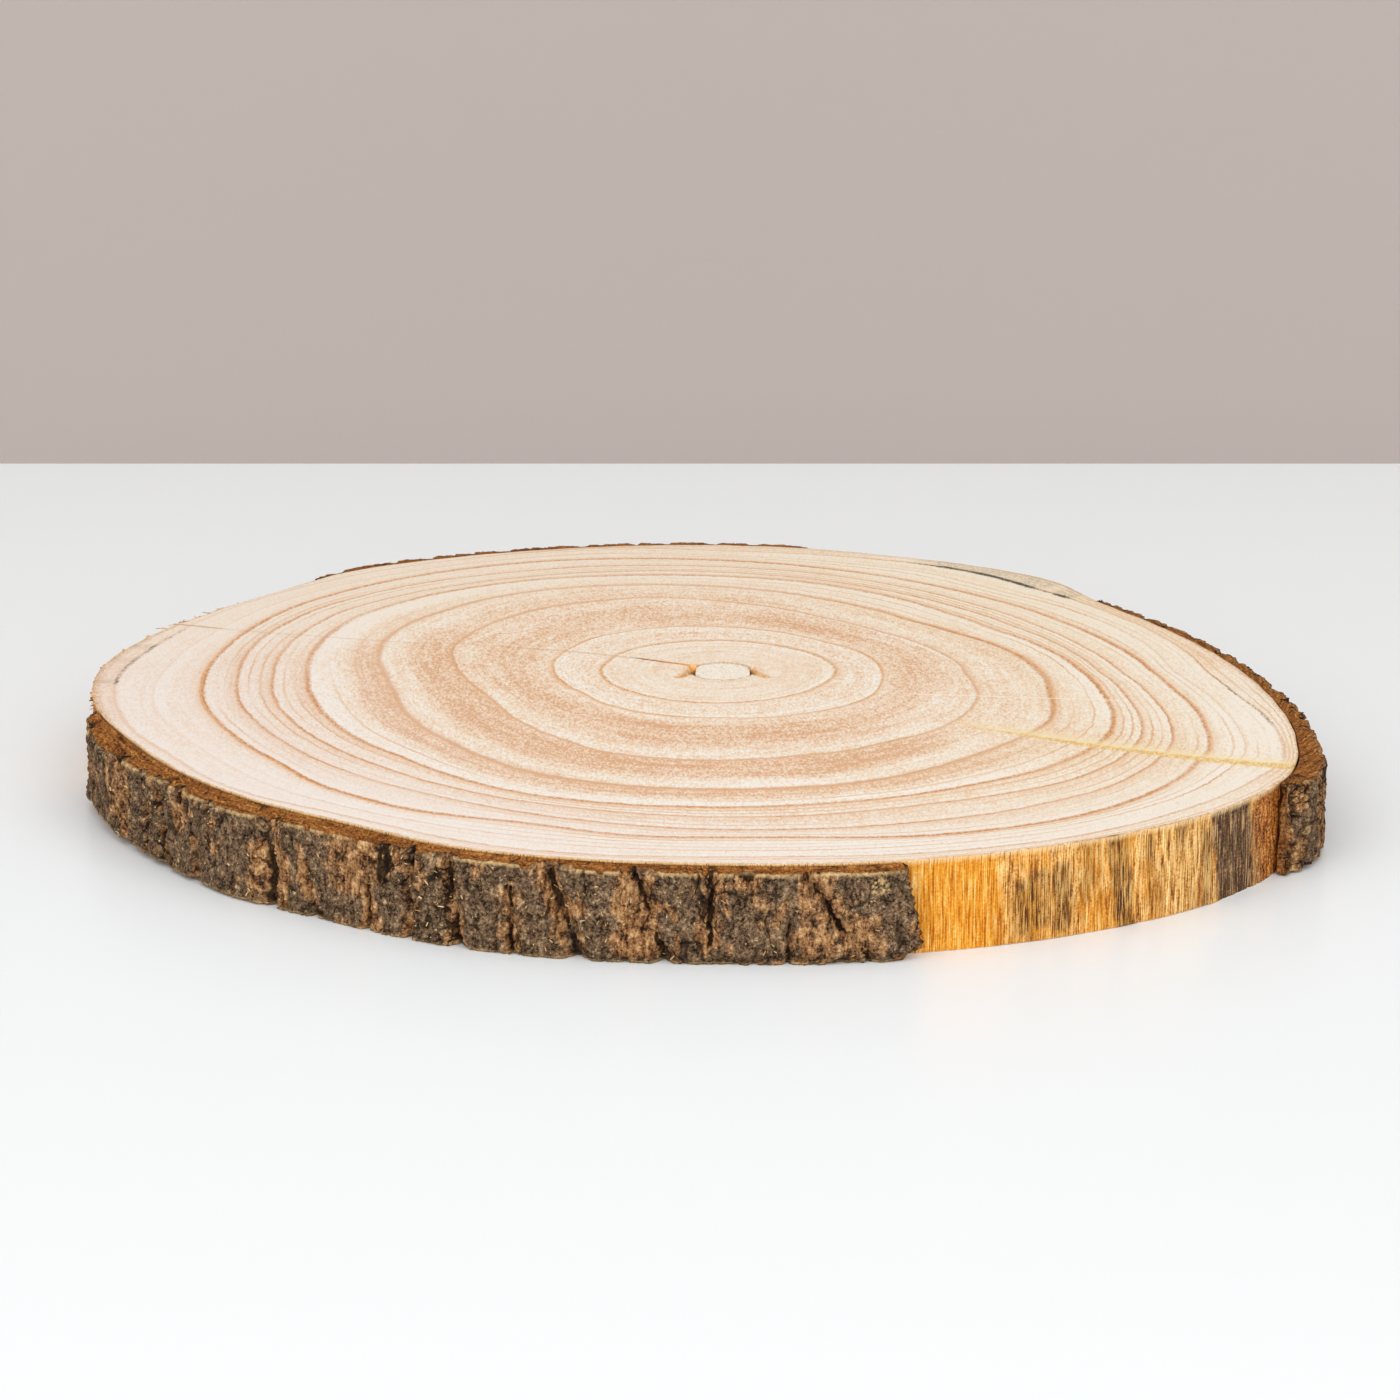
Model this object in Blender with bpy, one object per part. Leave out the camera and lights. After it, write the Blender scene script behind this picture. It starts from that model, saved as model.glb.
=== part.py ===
"""A slice sawn across a young trunk: a disc of pale wood, a plug in its pith hole, three strips of bark.

Metres, +Z up. Angles are in degrees, anticlockwise round the pith from the +X side. All of it is laid
out round the pith and then moved, so that the slice lies on the ground plane with its bounding box
centred over the origin.
"""

import math
import random
from collections import namedtuple

import bmesh
import bpy
import numpy as np
from mathutils import Vector, noise

MM = 0.001
CREASE_ANGLE = math.radians(40)

# Sawn disc. The rim radii stand at equal angles; the trunk had grown more on its front left.
THICKNESS = 26 * MM
RIM_RADII_MM = (
    152, 145, 140.5, 139.5, 146, 146, 145, 146.5,
    148, 150, 153, 157.5, 163, 164, 169, 176.5,
    182.5, 183, 180.5, 180.5, 180.5, 180, 184.5, 185,
    185.5, 188, 190, 191.5, 192, 187, 174, 161.5,
)
RIM_STEP_DEG = 1.2
FLUTE_DEPTH = 0.25 * MM
FLUTES_ROUND = 61

# Pith hole, torn open to the left and the right, with a drying crack that leaves it on the left.
PITH_HOLE_MM = (
    (8.6, 3.5), (8.0, 6.6), (5.9, 8.9), (3.3, 10.6), (0.0, 11.1), (-2.9, 10.6), (-5.5, 9.3), (-7.8, 8.1),
    (-8.7, 6.8), (-17.0, 11.0), (-26.0, 14.5), (-17.2, 9.9), (-8.9, 5.3),
    (-8.9, 1.0), (-11.2, -4.6), (-8.5, -6.4), (-6.3, -9.2), (-2.2, -9.8), (1.2, -10.5), (4.6, -8.3),
    (8.2, -5.6), (11.0, -5.0), (9.3, -1.0),
)
PLUG_MM = (
    (8.2, 3.3), (7.5, 6.2), (5.5, 8.4), (3.1, 10.1), (0.0, 10.6), (-2.7, 10.1), (-5.2, 8.8), (-7.3, 7.5),
    (-7.8, 1.0), (-7.9, -5.9), (-5.9, -8.7), (-2.1, -9.3), (1.0, -10.0), (4.3, -7.8), (8.0, -5.2),
)
PLUG_TOP_DROP = 0.3 * MM

# Bark
GAP = 0.3 * MM
BARK_STEP = 1.4 * MM
BARK_LEVELS = 8
BARK_TOP_INNER_DROP = 0.4 * MM
BARK_FLOOR_CLEARANCE = 0.1 * MM
RAGGED_HEM = 0.8 * MM
RAGGED_HEM_PER_DEG = 0.9
FLARE_SHARE = 0.3
BARK_LEAST_THICKNESS = 0.8 * MM
PLATE_SWELL = 0.6 * MM
PLATES_PER_DEG = 0.45
SWELLS_UP = 1.5
FURROW_WANDER_DEG = 0.35
FURROW_BENDS_UP = 4
FURROW_FADE = 0.12
FURROW_BANK = 0.5

# Furrows on the bark that faces away from the viewer, drawn from a seed
FURROW_SPACING = (9 * MM, 17 * MM)
FURROW_WIDTH = (1.8 * MM, 4.2 * MM)
FURROW_LEAN_DEG = 1.2
DEEP_FURROW = 4.0 * MM
SHALLOW_FURROW = 2.2 * MM
SHALLOW_CHANCE = 0.45

# A furrow runs from its top angle to its bottom angle; start and stop are shares of the height, 0 at the
# bottom and 1 at the top, between which it is open.
Furrow = namedtuple("Furrow", "top bottom width depth start stop")
# Each end of a strip has an angle at the bottom and one at the top. Thickness, hem and flare are
# (angle, mm) pairs: the hem is how far the bark ends above the ground, the flare how much thicker it gets
# towards its foot. Top drop is how far its outer edge lies below the sawn face.
Strip = namedtuple("Strip", "name first last thickness hem flare top_drop furrows")

FRONT_FURROWS = (
    Furrow(207.0, 208.3, 3.0 * MM, 3.5 * MM, 0.0, 1.0),
    Furrow(211.6, 212.3, 1.8 * MM, 3.0 * MM, 0.0, 1.0),
    Furrow(214.2, 215.6, 2.4 * MM, 4.0 * MM, 0.0, 0.8),
    Furrow(217.6, 217.2, 4.2 * MM, 2.6 * MM, 0.6, 1.0),
    Furrow(219.4, 220.2, 2.4 * MM, 5.0 * MM, 0.0, 0.42),
    Furrow(222.0, 222.4, 1.6 * MM, 2.2 * MM, 0.6, 1.0),
    Furrow(229.6, 229.4, 6.0 * MM, 3.0 * MM, 0.0, 1.0),
    Furrow(232.6, 233.9, 2.2 * MM, 4.0 * MM, 0.0, 0.6),
    Furrow(239.8, 239.8, 1.8 * MM, 2.4 * MM, 0.0, 0.4),
    Furrow(243.9, 243.7, 2.2 * MM, 4.5 * MM, 0.0, 1.0),
    Furrow(247.3, 248.2, 3.0 * MM, 4.5 * MM, 0.0, 1.0),
    Furrow(252.4, 253.0, 1.8 * MM, 2.0 * MM, 0.0, 0.7),
    Furrow(255.7, 258.4, 5.0 * MM, 5.0 * MM, 0.0, 1.0),
    Furrow(262.8, 265.2, 4.0 * MM, 3.6 * MM, 0.0, 1.0),
    Furrow(268.8, 268.9, 2.8 * MM, 2.4 * MM, 0.3, 1.0),
    Furrow(275.4, 275.0, 1.8 * MM, 2.0 * MM, 0.0, 0.4),
    Furrow(276.4, 281.2, 2.2 * MM, 3.2 * MM, 0.0, 1.0),
)
RIGHT_FURROWS = (
    Furrow(323.9, 324.1, 1.8 * MM, 4.0 * MM, 0.0, 1.0),
    Furrow(325.1, 325.3, 1.6 * MM, 2.6 * MM, 0.0, 1.0),
)

# Colours as they are seen, in sRGB
WOOD_COLOUR = (0.92, 0.85, 0.76)
PLUG_COLOUR = (0.94, 0.90, 0.83)
BARK_COLOUR = (0.33, 0.27, 0.22)
WOOD_ROUGHNESS = 0.62
BARK_ROUGHNESS = 0.92


def clear_scene():
    for obj in list(bpy.data.objects):
        bpy.data.objects.remove(obj)


def linear(colour):
    return tuple(c / 12.92 if c <= 0.04045 else ((c + 0.055) / 1.055) ** 2.4 for c in colour)


def finish(name, colour, roughness):
    material = bpy.data.materials.new(name)
    material.use_nodes = True
    shader = material.node_tree.nodes["Principled BSDF"]
    shader.inputs["Base Color"].default_value = (*linear(colour), 1.0)
    shader.inputs["Roughness"].default_value = roughness
    shader.inputs["Metallic"].default_value = 0.0
    return material


def through_ring(values, place):
    """The smooth closed curve through equally spaced values, read at a place counted in their steps."""
    index = math.floor(place)
    t = place - index
    before, here, after, beyond = (values[(index + k) % len(values)] for k in (-1, 0, 1, 2))
    slope_here = (after - before) / 2
    slope_after = (beyond - here) / 2
    rise = after - here
    return here + t * slope_here + t * t * (3 * rise - 2 * slope_here - slope_after) + t**3 * (
        slope_here + slope_after - 2 * rise
    )


def rim_radius(angle):
    step = 360 / len(RIM_RADII_MM)
    return through_ring(RIM_RADII_MM, angle / step) * MM


def at(radius, angle, height):
    turn = math.radians(angle)
    return Vector((radius * math.cos(turn), radius * math.sin(turn), height))


def smoothstep(value):
    value = min(max(value, 0.0), 1.0)
    return value * value * (3 - 2 * value)


def add_object(name, mesh_data, material):
    """Turns a bmesh into an object in the scene, its faces pointing out."""
    bmesh.ops.recalc_face_normals(mesh_data, faces=mesh_data.faces)
    mesh = bpy.data.meshes.new(name)
    mesh_data.to_mesh(mesh)
    mesh_data.free()
    mesh.materials.append(material)
    mesh.shade_smooth()
    mesh.set_sharp_from_angle(angle=CREASE_ANGLE)
    obj = bpy.data.objects.new(name, mesh)
    bpy.context.scene.collection.objects.link(obj)
    return obj


def sawn_block(name, loops, height, material):
    """A flat-faced block: closed outlines filled in the ground plane, holes left open, then extruded."""
    block = bmesh.new()
    edges = []
    for loop in loops:
        corners = [block.verts.new(point) for point in loop]
        edges += [block.edges.new((corners[i - 1], corners[i])) for i in range(len(corners))]
    bmesh.ops.triangle_fill(block, edges=edges, use_beauty=True, use_dissolve=False)
    raised = bmesh.ops.extrude_face_region(block, geom=block.faces[:])
    lifted = [item for item in raised["geom"] if isinstance(item, bmesh.types.BMVert)]
    bmesh.ops.translate(block, verts=lifted, vec=(0, 0, height))
    return add_object(name, block, material)


def rim_outline():
    """The disc's outline, with the shallow flutes that the wood keeps where its bark has come off."""
    points = []
    for angle in np.arange(0, 360, RIM_STEP_DEG):
        flute = math.sin(math.radians(angle * FLUTES_ROUND)) - 1
        points.append(at(rim_radius(angle) + FLUTE_DEPTH / 2 * flute, angle, 0))
    return points


def in_metres(outline_mm):
    return [Vector((x * MM, y * MM, 0)) for x, y in outline_mm]


def wood_disc(material):
    return sawn_block("wood_disc", [rim_outline(), in_metres(PITH_HOLE_MM)], THICKNESS, material)


def pith_plug(material):
    return sawn_block("pith_plug", [in_metres(PLUG_MM)], THICKNESS - PLUG_TOP_DROP, material)


def seeded_furrows(first, last, seed):
    """Furrows for bark that faces away from the viewer: spacing, width and lean drawn from one seed."""
    draw = random.Random(seed)
    furrows = []
    angle = first
    while True:
        angle += math.degrees(draw.uniform(*FURROW_SPACING) / rim_radius(angle))
        if angle > last:
            return tuple(furrows)
        deep = draw.random() > SHALLOW_CHANCE
        furrows.append(
            Furrow(
                top=angle,
                bottom=angle + draw.uniform(-FURROW_LEAN_DEG, FURROW_LEAN_DEG),
                width=draw.uniform(*FURROW_WIDTH),
                depth=DEEP_FURROW if deep else SHALLOW_FURROW,
                start=0.0 if deep else draw.choice((0.0, 0.45)),
                stop=1.0 if deep else draw.choice((0.5, 1.0)),
            )
        )


def furrow_depth(furrow, angle, share, radius):
    """How deep one furrow cuts at an angle and at a share of the height, its banks sloping outwards."""
    middle = furrow.bottom + (furrow.top - furrow.bottom) * share
    middle += FURROW_WANDER_DEG * noise.noise(Vector((furrow.top, share * FURROW_BENDS_UP, 0)))
    off = abs(math.radians(angle - middle)) * radius / (furrow.width / 2)
    fade_in = smoothstep((share - furrow.start) / FURROW_FADE + 1)
    fade_out = smoothstep((furrow.stop - share) / FURROW_FADE + 1)
    return furrow.depth * smoothstep(1 + FURROW_BANK - off) * fade_in * fade_out


def along(pairs, angle):
    angles, millimetres = zip(*pairs)
    return float(np.interp(angle, angles, millimetres)) * MM


def bark_thickness(strip, angle, share):
    """Bark thickness with its plates swelling between the furrows, never thinner than the inner bark."""
    whole = along(strip.thickness, angle) + along(strip.flare, angle) * smoothstep(1 - share / FLARE_SHARE)
    radius = rim_radius(angle)
    swell = PLATE_SWELL * noise.noise(Vector((angle * PLATES_PER_DEG, share * SWELLS_UP, 0)))
    cut = max(furrow_depth(furrow, angle, share, radius) for furrow in strip.furrows)
    return max(whole + swell - cut, BARK_LEAST_THICKNESS)


def bark_section(strip, u):
    """One cross-section of a strip, u of the way along it, as a closed loop of points."""
    low = strip.first[0] + u * (strip.last[0] - strip.first[0])
    high = strip.first[1] + u * (strip.last[1] - strip.first[1])
    ragged = RAGGED_HEM * abs(noise.noise(Vector((low * RAGGED_HEM_PER_DEG, 0, 1))))
    hem = BARK_FLOOR_CLEARANCE + along(strip.hem, low) + ragged
    inner_top = THICKNESS - BARK_TOP_INNER_DROP
    outer_top = THICKNESS - strip.top_drop
    section = [at(rim_radius(low) + GAP, low, hem)]
    for share in np.linspace(0, 1, BARK_LEVELS):
        angle = low + (high - low) * share
        radius = rim_radius(angle) + GAP + bark_thickness(strip, angle, share)
        section.append(at(radius, angle, hem + (outer_top - hem) * share))
    section.append(at(rim_radius(high) + GAP, high, inner_top))
    return section


def bark_strip(strip, material):
    """Cross-sections at even steps along the rim, bridged into a skin and closed at both ends."""
    middle = (strip.first[0] + strip.last[0]) / 2
    length = math.radians(strip.last[0] - strip.first[0]) * rim_radius(middle)
    steps = round(length / BARK_STEP)
    bark = bmesh.new()
    rows = [
        [bark.verts.new(point) for point in bark_section(strip, i / steps)] for i in range(steps + 1)
    ]
    for row, following in zip(rows, rows[1:]):
        for k in range(len(row)):
            bark.faces.new((row[k - 1], row[k], following[k], following[k - 1]))
    for end in (rows[0], rows[-1]):
        bark.faces.new(end)
    bmesh.ops.triangulate(bark, faces=bark.faces[:])
    return add_object(strip.name, bark, material)


def bark_strips():
    front = Strip(
        name="bark_front",
        first=(193.2, 192.6),
        last=(286.0, 284.4),
        thickness=(
            (192.6, 1.2), (194, 3.4), (197, 6), (202.5, 9.3), (213.75, 8), (225, 9), (236.25, 7.5),
            (247.5, 6), (259, 6.5), (270, 5.5), (284, 5.5), (286, 4.5),
        ),
        hem=((192.6, 3), (198, 4.2), (203, 4), (207, 2.2), (213, 1.6), (227, 0.4), (235, 0)),
        flare=((192.6, 1), (196, 1.2), (200, 0)),
        top_drop=1.1 * MM,
        furrows=FRONT_FURROWS,
    )
    right = Strip(
        name="bark_right",
        first=(322.9, 323.2),
        last=(396.0, 395.0),
        thickness=(
            (322.7, 2), (324, 5), (326, 8), (332, 8), (337.5, 6), (348.75, 5), (360, 4), (382.5, 4),
            (393.75, 3.2), (396, 2.6),
        ),
        hem=((323, 0), (326, 0.8), (334, 1), (345, 0.3)),
        flare=((323, 0),),
        top_drop=0.5 * MM,
        furrows=RIGHT_FURROWS + seeded_furrows(327, 394, seed=4),
    )
    back = Strip(
        name="bark_back",
        first=(79.4, 79.0),
        last=(140.4, 140.0),
        thickness=((79, 2), (84, 3.5), (110, 4), (134, 3.5), (140, 1.5)),
        hem=((79, 0.2),),
        flare=((79, 0),),
        top_drop=0.4 * MM,
        furrows=seeded_furrows(81, 139, seed=11),
    )
    return front, right, back


def stand_on_origin(objects):
    """Moves every mesh so that the whole slice is centred over the origin, resting on the ground plane."""
    corners = np.array([vertex.co for obj in objects for vertex in obj.data.vertices])
    low, high = corners.min(axis=0), corners.max(axis=0)
    for obj in objects:
        for vertex in obj.data.vertices:
            vertex.co -= Vector(((low[0] + high[0]) / 2, (low[1] + high[1]) / 2, low[2]))


def main():
    clear_scene()
    sapwood = finish("Sawn wood", WOOD_COLOUR, WOOD_ROUGHNESS)
    plug_wood = finish("Plug wood", PLUG_COLOUR, WOOD_ROUGHNESS)
    bark = finish("Bark", BARK_COLOUR, BARK_ROUGHNESS)
    objects = [wood_disc(sapwood), pith_plug(plug_wood)]
    objects += [bark_strip(strip, bark) for strip in bark_strips()]
    stand_on_origin(objects)


main()
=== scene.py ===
"""Dresses the frame of a wood slice: the sawn disc with its growth rings, the plug in its pith and its strips of bark."""

import math
import random
from collections import namedtuple

import bpy
import numpy as np
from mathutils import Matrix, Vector, noise
from mathutils.bvhtree import BVHTree


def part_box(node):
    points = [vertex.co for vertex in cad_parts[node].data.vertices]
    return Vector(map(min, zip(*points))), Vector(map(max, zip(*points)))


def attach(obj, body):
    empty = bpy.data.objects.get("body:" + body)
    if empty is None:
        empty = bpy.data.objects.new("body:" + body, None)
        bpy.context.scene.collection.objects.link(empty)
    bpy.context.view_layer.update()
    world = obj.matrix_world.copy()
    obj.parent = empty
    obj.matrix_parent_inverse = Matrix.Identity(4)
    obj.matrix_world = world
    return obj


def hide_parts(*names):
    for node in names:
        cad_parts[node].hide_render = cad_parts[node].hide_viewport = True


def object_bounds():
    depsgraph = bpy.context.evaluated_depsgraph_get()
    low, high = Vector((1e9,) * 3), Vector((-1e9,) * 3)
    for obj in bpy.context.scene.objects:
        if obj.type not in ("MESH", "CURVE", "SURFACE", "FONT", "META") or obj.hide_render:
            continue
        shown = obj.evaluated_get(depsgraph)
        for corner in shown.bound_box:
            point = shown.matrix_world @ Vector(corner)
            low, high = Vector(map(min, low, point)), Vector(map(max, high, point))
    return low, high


bl_info = {
    "name": "Wood slice",
    "version": (1, 0, 0),
    "blender": (4, 5, 0),
    "location": "3D View > Sidebar > Wood slice",
    "description": "Dresses the frame of a wood slice with sawn wood, a plugged pith and furrowed bark",
    "category": "Object",
}

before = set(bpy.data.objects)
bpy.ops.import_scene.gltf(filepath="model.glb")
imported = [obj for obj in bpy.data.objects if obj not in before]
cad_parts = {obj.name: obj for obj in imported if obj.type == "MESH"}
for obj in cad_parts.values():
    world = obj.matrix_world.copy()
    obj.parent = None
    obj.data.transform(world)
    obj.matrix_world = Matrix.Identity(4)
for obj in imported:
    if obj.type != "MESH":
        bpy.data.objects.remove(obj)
CAD_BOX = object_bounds()

MM = 0.001

# Everything in the wood is placed from the pith: angles in degrees from +X, radii in millimetres.
PLUG_LOW, PLUG_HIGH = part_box("pith_plug")
PITH = Vector(((PLUG_LOW.x + PLUG_HIGH.x) / 2 - 0.15 * MM, (PLUG_LOW.y + PLUG_HIGH.y) / 2 - 0.3 * MM, 0.0))
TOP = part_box("wood_disc")[1].z
REACH = 0.4

# One growth ring: how dark its line is at an angle, how wide that line is, and its radius at an angle.
Ring = namedtuple("Ring", "line width radii")
RINGS = (
    Ring(((0, 0.95),), 1.3, (
        (0, 33), (30, 33), (60, 33), (90, 34), (105, 35), (135, 36), (165, 35), (180, 35), (210, 34.5),
        (240, 34), (270, 33.5), (300, 33), (330, 32), (345, 32.3))),
    Ring(((0, 0.9), (190, 0.95), (205, 1.0), (230, 1.0), (260, 0.9)), 1.3, (
        (0, 46.5), (15, 46), (30, 45), (45, 44), (60, 45.5), (75, 47), (90, 49), (105, 51), (120, 52.5),
        (135, 52.5), (150, 51.5), (165, 50.5), (180, 49), (195, 47), (210, 46), (225, 48), (240, 48.5),
        (255, 49), (270, 49), (285, 50), (300, 50.5), (315, 50.5), (330, 50), (345, 48))),
    Ring(((0, 0.65), (200, 0.6)), 1.1, (
        (0, 71.5), (15, 68), (30, 65.5), (45, 64.5), (60, 66.5), (75, 72), (90, 79), (105, 86), (120, 89),
        (130, 89.5), (145, 86.5), (158, 84), (165, 82), (180, 76.5), (190, 73.5), (200, 72.5), (210, 73.5),
        (225, 79), (240, 86), (250, 89.5), (262, 91), (275, 91), (285, 90), (300, 87), (312, 85.5),
        (330, 82), (345, 76))),
    Ring(((0, 1.0), (45, 0.95), (75, 0.6), (150, 0.5), (200, 0.5), (250, 0.6), (320, 0.6), (345, 0.9)), 2.0, (
        (0, 93), (15, 87.5), (30, 82), (45, 80), (60, 84), (75, 90), (90, 96), (105, 102), (120, 107),
        (130, 108.5), (145, 108), (160, 106.5), (168, 104), (180, 98.5), (195, 97.5), (210, 101),
        (225, 106), (240, 114), (250, 117.5), (258, 118.5), (270, 119.5), (280, 119.5), (292, 117.5),
        (300, 114), (310, 110.5), (320, 108.5), (330, 107), (345, 98))),
    Ring(((0, 0.9), (60, 0.9), (120, 0.7), (160, 0.6), (200, 0.9), (300, 0.9)), 1.6, (
        (0, 105.5), (15, 99), (30, 93.5), (45, 95), (60, 100), (75, 105), (90, 109), (105, 114), (120, 120),
        (135, 124), (150, 126), (165, 124), (180, 121), (195, 121), (210, 123.5), (225, 125), (240, 132),
        (250, 135), (262, 135.5), (270, 136), (285, 134.5), (300, 133.5), (312, 133), (322, 130),
        (330, 126.5), (345, 114))),
    Ring(((0, 0.8), (180, 0.7), (300, 0.8)), 1.3, (
        (0, 110), (15, 104.5), (30, 100.5), (45, 101.5), (60, 104.5), (75, 109), (90, 113.5), (105, 119),
        (120, 124), (135, 129), (150, 133), (165, 132), (180, 131), (210, 133), (225, 135), (240, 139),
        (255, 141.5), (270, 144.5), (282, 144.5), (292, 142.5), (300, 144.5), (310, 145.5), (320, 142),
        (323, 140), (330, 136), (345, 120.5))),
    Ring(((0, 0.75), (180, 0.75)), 1.3, (
        (0, 116), (15, 110), (30, 107), (45, 107.5), (60, 111), (75, 116), (90, 120), (105, 126), (120, 131),
        (135, 137), (150, 141), (165, 142), (180, 141), (195, 142), (210, 142.5), (225, 145), (240, 147.5),
        (250, 150), (262, 154), (270, 155.5), (285, 157.5), (300, 158), (312, 157), (322, 151),
        (330, 145.5), (345, 128.3))),
    Ring(((0, 1.0), (100, 0.95), (150, 0.8), (180, 1.1), (240, 1.1), (320, 0.8)), 2.1, (
        (0, 125.5), (15, 119.5), (30, 116), (45, 116), (60, 118.5), (75, 123), (90, 128.5), (105, 135),
        (120, 141.5), (135, 145.5), (150, 148.5), (162, 149), (170, 149), (180, 150.5), (195, 152),
        (210, 153), (218, 154), (225, 158.5), (232, 160.5), (240, 161.5), (247, 158.5), (253, 158.5),
        (258, 162.5), (262, 163), (270, 162), (277, 163), (285, 168), (290, 170.5), (300, 172), (306, 172),
        (315, 168), (324, 161), (329, 158), (337, 148), (345, 139), (352, 131))),
    Ring(((0, 0.3), (35, 0.3), (60, 0.35), (120, 0.3), (150, 0.12), (215, 0.12), (250, 0.3)), 0.8, (
        (0, 131), (15, 129), (30, 127), (45, 124.5), (55, 127), (60, 130), (75, 131), (90, 134), (105, 142),
        (120, 146.5), (135, 151.5), (150, 155.5), (165, 158), (180, 163), (195, 167), (210, 165.5),
        (225, 169), (240, 169), (255, 170), (270, 171), (285, 173), (300, 177), (315, 176), (330, 168),
        (345, 147))),
    Ring(((0, 0.4), (38, 0.5), (42, 1.0), (66, 1.0), (72, 0.5), (100, 0.4), (140, 0.25), (200, 0.25), (230, 0.45), (300, 0.45)), 1.0, (
        (0, 141), (15, 137), (30, 134.5), (45, 135), (52, 138), (60, 139), (75, 138.5), (90, 140), (105, 149),
        (120, 152), (135, 158), (150, 163), (158, 166), (165, 168), (172, 171), (180, 175.5), (190, 177),
        (200, 177.5), (210, 175.5), (217, 178), (225, 178), (232, 175), (240, 176), (247, 180), (255, 181),
        (262, 180.5), (270, 179.5), (277, 180), (285, 183.5), (300, 186.5), (315, 184.5), (330, 180),
        (337, 170), (345, 158), (350, 150))),
)
RIM_RING = len(RINGS) + 1

# A stretch of the sawn face that is warmer (below 0) or paler (above 0) than the rest: from ring to ring, then
# from angle to angle, with the fade at its ends.
Band = namedtuple("Band", "inner outer start stop fade tone")
BANDS = (
    Band(0.0, 1.0, 0, 360, 0, 0.45),
    Band(1.0, 2.05, 0, 360, 0, 0.36),
    Band(2.3, 2.85, -10, 70, 20, -0.35),
    Band(2.25, 2.9, 60, 172, 20, -0.24),
    Band(2.28, 2.75, 195, 300, 20, -0.44),
    Band(2.8, 3.0, 210, 310, 15, 0.3),
    Band(3.0, 3.6, 165, 300, 20, -0.55),
    Band(3.6, 3.92, 150, 310, 15, 0.18),
    Band(3.0, 3.6, -30, 60, 25, 0.25),
    Band(3.66, 4.1, -15, 60, 20, -0.3),
    Band(4.0, 4.5, 150, 300, 20, -0.35),
    Band(4.55, 4.95, 135, 300, 20, 0.55),
    Band(4.1, 11.0, -20, 160, 15, 0.62),
    Band(5.4, 5.9, 190, 310, 20, 0.35),
    Band(6.4, 6.9, 190, 310, 20, 0.25),
    Band(7.3, 7.85, 190, 310, 20, 0.3),
    Band(8.05, 8.9, 170, 320, 20, 0.5),
    Band(9.0, 9.75, 175, 320, 15, 0.6),
    Band(8.1, 10.0, 285, 340, 15, 0.3),
    Band(8.1, 9.95, -20, 75, 15, 0.25),
    Band(10.1, 11.0, 76, 112, 8, -0.5),
    Band(10.05, 11.0, 205, 320, 10, 0.4),
    Band(10.05, 11.0, 140, 198, 6, -0.1),
    Band(10.05, 11.0, 4, 34, 6, -0.6),
)

# A line across the rings, as points from the pith in millimetres, with its half width and depth.
Cut = namedtuple("Cut", "points half_width depth")
HEART_CRACK = Cut(((-7.5, 5.2), (-9.5, 6.3), (-16, 9.6), (-22, 12.6), (-27.5, 15.2)), 0.6, 0.3)
LEFT_TEAR = Cut(((-8.3, 6.0), (-9.1, 0.5), (-9.8, -2.4), (-12.2, -6.2)), 1.5, 1.4)
RIGHT_TEAR = Cut(((8.4, 3.6), (9.3, -0.8), (10.0, -2.8), (12.4, -5.8)), 1.4, 1.4)
RESIN_SEAM = ((62, -53.5), (67.4, -56.6), (86.7, -67.7), (104.2, -77.7), (122.9, -86.0), (137.1, -91.8), (156.9, -98.0), (164, -100))
OLD_SPLIT = ((-26, 14.4), (-45, 21.5), (-79, 30.5), (-95, 31.5), (-143, 44.5), (-150, 47), (-166, 53))
SCRATCH = ((50.8, -23.7), (117, -31.5))

# A mark on the bare side of the stem: from angle to angle at the top edge, from depth to depth under the top
# face in millimetres, how far it leans to the right on its way down, in degrees, and how strong it is.
Mark = namedtuple("Mark", "kind start stop top bottom lean strength")
SIDE_MARKS = (
    Mark("gold", 284.0, 290.6, 0, 26, 0.3, 1.0),
    Mark("gold", 293.5, 304.0, 0, 26, 1.0, 0.45),
    Mark("dark", 292.2, 299.0, 8, 26, 0.4, 0.3),
    Mark("dark", 293.9, 294.3, 10, 22, 0.4, 0.85),
    Mark("dark", 295.3, 296.0, 8, 20, 0.4, 0.85),
    Mark("dark", 297.4, 298.2, 7, 22, 0.3, 1.0),
    Mark("dark", 299.3, 301.2, 0, 16, 0.5, 0.4),
    Mark("dark", 302.3, 302.9, 0, 26, 1.5, 1.1),
    Mark("dark", 306.0, 306.2, 4, 20, 1.2, 0.4),
    Mark("dark", 309.4, 309.6, 2, 24, 1.2, 0.35),
    Mark("dark", 312.4, 312.5, 6, 24, 0.4, 0.6),
    Mark("weathered", 313.7, 317.8, 0, 26, 0.9, 1.0),
    Mark("weathered", 318.2, 319.2, 6, 26, 0.9, 0.5),
    Mark("inner", 319.6, 326.0, 0, 26, 0.6, 1.0),
    Mark("weathered", 46.0, 58.0, 0, 20, 0.5, 0.5),
    Mark("inner", 140.0, 150.0, 0, 26, 0.0, 0.8),
    Mark("inner", 168.0, 176.0, 0, 26, 1.0, 0.5),
    Mark("inner", 188.0, 196.0, 0, 26, 0.0, 0.9),
    Mark("gold", 60.0, 76.0, 0, 26, 0.5, 0.6),
)

COLUMN_STEP = 0.8
FINE_COLUMN_STEP = 0.16
FINE_STRETCH = (284.0, 325.0)
ROWS_IN_RING = (0, 5, 8, 7, 6, 4, 4, 5, 3, 4)
HEART_ROWS = (0, 0.008, 0.02, 0.035, 0.05, 0.065, 0.08, 0.1, 0.125, 0.16, 0.2, 0.27, 0.36, 0.46, 0.57, 0.68, 0.79, 0.9)
SIDE_ROWS = 22
HOLE_ROWS = 5

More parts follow.
